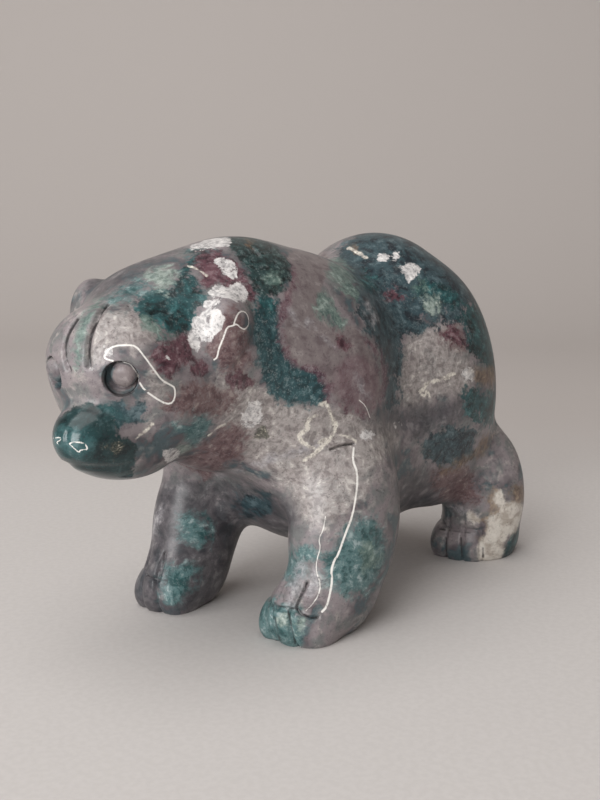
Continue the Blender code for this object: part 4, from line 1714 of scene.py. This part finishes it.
@dataclass(frozen=True)
class JasperFinish:
    """Polished jasper: grounds, patches, veins, painted shade and painted highlights laid
    one over the other.
    """

    layers: tuple[Layer, ...] = LAYERS
    dark: Colour = (0.082, 0.068, 0.077)
    tone: Colour = (0.235, 0.205, 0.212)
    cool: Colour = (0.145, 0.158, 0.155)
    pale: Colour = (0.36, 0.325, 0.31)
    fleck: Colour = (0.050, 0.105, 0.118)
    ink: Colour = (0.030, 0.030, 0.036)
    frost: Colour = (0.40, 0.45, 0.45)
    first_seed: float = 20.0
    roughness: float = 0.36
    wet: float = 0.20
    pit_strength: float = 0.25
    pit_depth: float = 0.0002

    def ground(self, shader: Shader, mottling: Mottling) -> Sock:
        """Colour the stone between the patches.

        Args:
            shader: The material that takes it.
            mottling: The shared noises.

        Returns:
            The ground colour.
        """
        wide, middle, grain = mottling.wide, mottling.middle, mottling.grain
        colour = shader.mix(mottling.cloudy.step(0.44, 0.60) * 0.8, self.tone, self.cool)
        colour = shader.mix(wide.step(0.34, 0.53), self.dark, colour)
        colour = shader.mix((middle * 0.5 + grain * 0.5).step(0.50, 0.64), colour, self.pale)
        colour = shader.mix((1.0 - grain).step(0.53, 0.66) * 0.6, colour, self.dark)
        return shader.mix((1.0 - wide + (middle - 0.5) * 0.5).step(0.54, 0.66) * 0.65,
                          colour, self.fleck)

    def share(self, shader: Shader, mottling: Mottling, layer: Layer) -> Sock:
        """Find how much one mineral covers.

        Args:
            shader: The material that takes it.
            mottling: The shared noises.
            layer: The mineral's look.

        Returns:
            The covered share.
        """
        edge = mottling.edge * layer.wander - shader.attribute(layer.mineral.value)
        share = edge.step(-layer.soft, layer.soft) * layer.cover
        if layer.holes > 0.0:
            share = share * (1.0 - (1.0 - mottling.grain).step(0.56, 0.61) * layer.holes)
        return share

    def tones(self, shader: Shader, mottling: Mottling, layer: Layer, seed: float) -> Sock:
        """Mottle one mineral in its own three tones.

        Args:
            shader: The material that takes it.
            mottling: The shared noises.
            layer: The mineral's look.
            seed: Which clouds it has.

        Returns:
            The mineral's colour.
        """
        clouds = shader.noise(mottling.bent, layer.clouds, 3.0, 0.6, seed)
        clouds = clouds * 0.6 + mottling.grain * 0.4
        tone = shader.mix(clouds.step(0.42, 0.52), layer.dark, layer.tone)
        tone = shader.mix(clouds.step(0.53, 0.63), tone, layer.pale)
        if layer.speckle > 0.0:
            tone = shader.mix(mottling.frosted * layer.speckle, tone, self.frost)
        return tone

    def build(self) -> bpy.types.Material:
        """Make the material.

        Returns:
            The finished material.
        """
        shader = Shader("jasper")
        mottling = Mottling(shader)
        colour = self.ground(shader, mottling)
        wetness = 0.0
        for number, layer in enumerate(self.layers):
            share = self.share(shader, mottling, layer)
            tones = self.tones(shader, mottling, layer, self.first_seed + number)
            colour = shader.mix(share, colour, tones)
            if layer.mineral is Mineral.SNOUT:
                wetness = share
        speck = mottling.speck
        colour = shader.mix((1.0 - speck).step(0.57, 0.68) * 0.5, colour, self.ink)
        colour = shader.mix(speck.step(0.60, 0.70) * 0.10, colour, self.frost)
        pits = (1.0 - mottling.fine).step(0.66, 0.74)
        pitted = shader.node(
            "ShaderNodeBump", {},
            {"Strength": self.pit_strength, "Distance": self.pit_depth,
             "Height": 1.0 - pits}, "Normal")
        dulled = self.roughness + (mottling.middle - 0.5) * 0.12 - wetness * self.wet
        surface = shader.node(
            "ShaderNodeBsdfPrincipled", {},
            {"Base Color": colour, "IOR": 1.45, "Normal": pitted, "Roughness": dulled})
        return shader.finish(surface)


@dataclass(frozen=True)
class PlainFinish:
    """A plain finish with a faint grain and painted shade that deepens with distance."""

    name: str
    colour: Colour
    deep: Colour
    far: Colour
    grain: float
    roughness: float
    away: Triple = (-0.624, 0.781, 0.0)
    shade_start: float = 80.0
    shade_end: float = 210.0

    def build(self) -> bpy.types.Material:
        """Make the material.

        Returns:
            The finished material.
        """
        shader = Shader(self.name)
        place = shader.millimetres()
        cloud = shader.noise(place, self.grain, 4.0)
        colour = shader.mix(cloud.step(0.35, 0.65), self.deep, self.colour)
        distance = shader.node("ShaderNodeVectorMath", {"operation": "DOT_PRODUCT"},
                               {0: place, 1: self.away}, "Value")
        # Painted shade: the floor and backdrop darken with distance from the camera
        colour = shader.mix(distance.step(self.shade_start, self.shade_end), colour, self.far)
        surface = shader.node(
            "ShaderNodeBsdfPrincipled", {},
            {"Base Color": colour, "Roughness": self.roughness})
        return shader.finish(surface)


@dataclass(frozen=True)
class Studio:
    """The pale floor, its swept backdrop and the soft light."""

    # The third colour is the painted shade far from the camera
    floor: PlainFinish = PlainFinish(
        "pale_floor", (0.585, 0.56, 0.545), (0.555, 0.53, 0.515), (0.507, 0.472, 0.452),
        1.2, 0.75)
    reach: float = 3.0
    wall: float = 0.75
    bend: float = 0.35
    target: Triple = (0.0, 0.0, 0.035)
    world: Colour = (0.90, 0.84, 0.80)
    world_strength: float = 0.34

    def build(self, eyeline: Eyeline) -> None:
        """Build the floor, backdrop and lights.

        Args:
            eyeline: The camera, which the backdrop faces.
        """
        self.build_floor(eyeline)
        self.build_world()
        self.light("overhead", (-0.05, -0.35, 0.90), 0.90, 6.0, (1.0, 0.985, 0.97))
        self.light("window", (0.14, -0.80, 0.24), 0.50, 6.0, (1.0, 1.0, 1.0))

    def build_floor(self, eyeline: Eyeline) -> None:
        """Lay the floor and sweep it up behind the bear."""
        mesh = bmesh.new()
        bmesh.ops.create_grid(mesh, x_segments=1, y_segments=1, size=self.reach)
        far = [edge for edge in mesh.edges
               if all(corner.co.y > 0.0 for corner in edge.verts)]
        bmesh.ops.translate(mesh, verts=list(far[0].verts),
                            vec=Vector((0.0, self.wall - self.reach, 0.0)))
        raised = bmesh.ops.extrude_edge_only(mesh, edges=far)["geom"]
        raised = [part for part in raised if isinstance(part, bmesh.types.BMVert)]
        bmesh.ops.translate(mesh, verts=raised, vec=Vector((0.0, 0.0, self.reach)))
        seam = [edge for edge in mesh.edges if edge.is_manifold]
        bmesh.ops.bevel(mesh, geom=seam, offset=self.bend, segments=16, profile=0.5,
                        affect="EDGES", material=-1)
        turn = Matrix.Rotation(math.radians(eyeline.azimuth), 4, "Z")
        bmesh.ops.transform(mesh, matrix=turn, verts=mesh.verts)
        bmesh.ops.recalc_face_normals(mesh, faces=mesh.faces)
        data = bpy.data.meshes.new("floor")
        mesh.to_mesh(data)
        mesh.free()
        data.materials.append(self.floor.build())
        data.shade_smooth()
        floor = bpy.data.objects.new("floor", data)
        bpy.context.collection.objects.link(floor)

    def build_world(self) -> None:
        """Fill the room with even light."""
        world = bpy.data.worlds.new("soft_room")
        world.use_nodes = True
        background = world.node_tree.nodes["Background"]
        background.inputs["Color"].default_value = (*self.world, 1.0)
        background.inputs["Strength"].default_value = self.world_strength
        bpy.context.scene.world = world
        bpy.context.scene.view_settings.view_transform = "Standard"

    def light(self, name: str, place: Triple, size: float, power: float,
              colour: Colour) -> None:
        """Hang one soft light that faces the bear.

        Args:
            name: Its name.
            place: Where it hangs, in metres.
            size: Its side in metres.
            power: Its power in watts.
            colour: Its colour.
        """
        data = bpy.data.lights.new(name, "AREA")
        data.size = size
        data.energy = power
        data.color = colour
        lamp = bpy.data.objects.new(name, data)
        look = Vector(self.target) - Vector(place)
        turn = look.to_track_quat("-Z", "Y").to_matrix().to_4x4()
        lamp.matrix_world = Matrix.Translation(Vector(place)) @ turn
        bpy.context.collection.objects.link(lamp)


def main() -> None:
    """Build the bear and its studio in order."""
    logging.basicConfig(level=logging.INFO, format="%(message)s")
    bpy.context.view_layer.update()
    eyeline = Eyeline()
    eyeline.build()
    LOG.info("camera at %s mm", eyeline.place)
    carving = Carving(Form(), eyeline, VEINS_AND_PAINTED_LINES)
    bear = carving.build()
    MineralMap(carving, MARKS, VEINS_AND_PAINTED_LINES).build()
    faces = sum(len(face.vertices) - 2 for face in bear.data.polygons)
    LOG.info("jasper_bear: %d points, %d triangles", len(bear.data.vertices), faces)
    bear.data.materials.clear()
    bear.data.materials.append(JasperFinish().build())
    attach(bear, "root")
    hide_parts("bear")
    Studio().build(eyeline)
    LOG.info("floor, backdrop and lights")


if __name__ == "__main__":
    main()
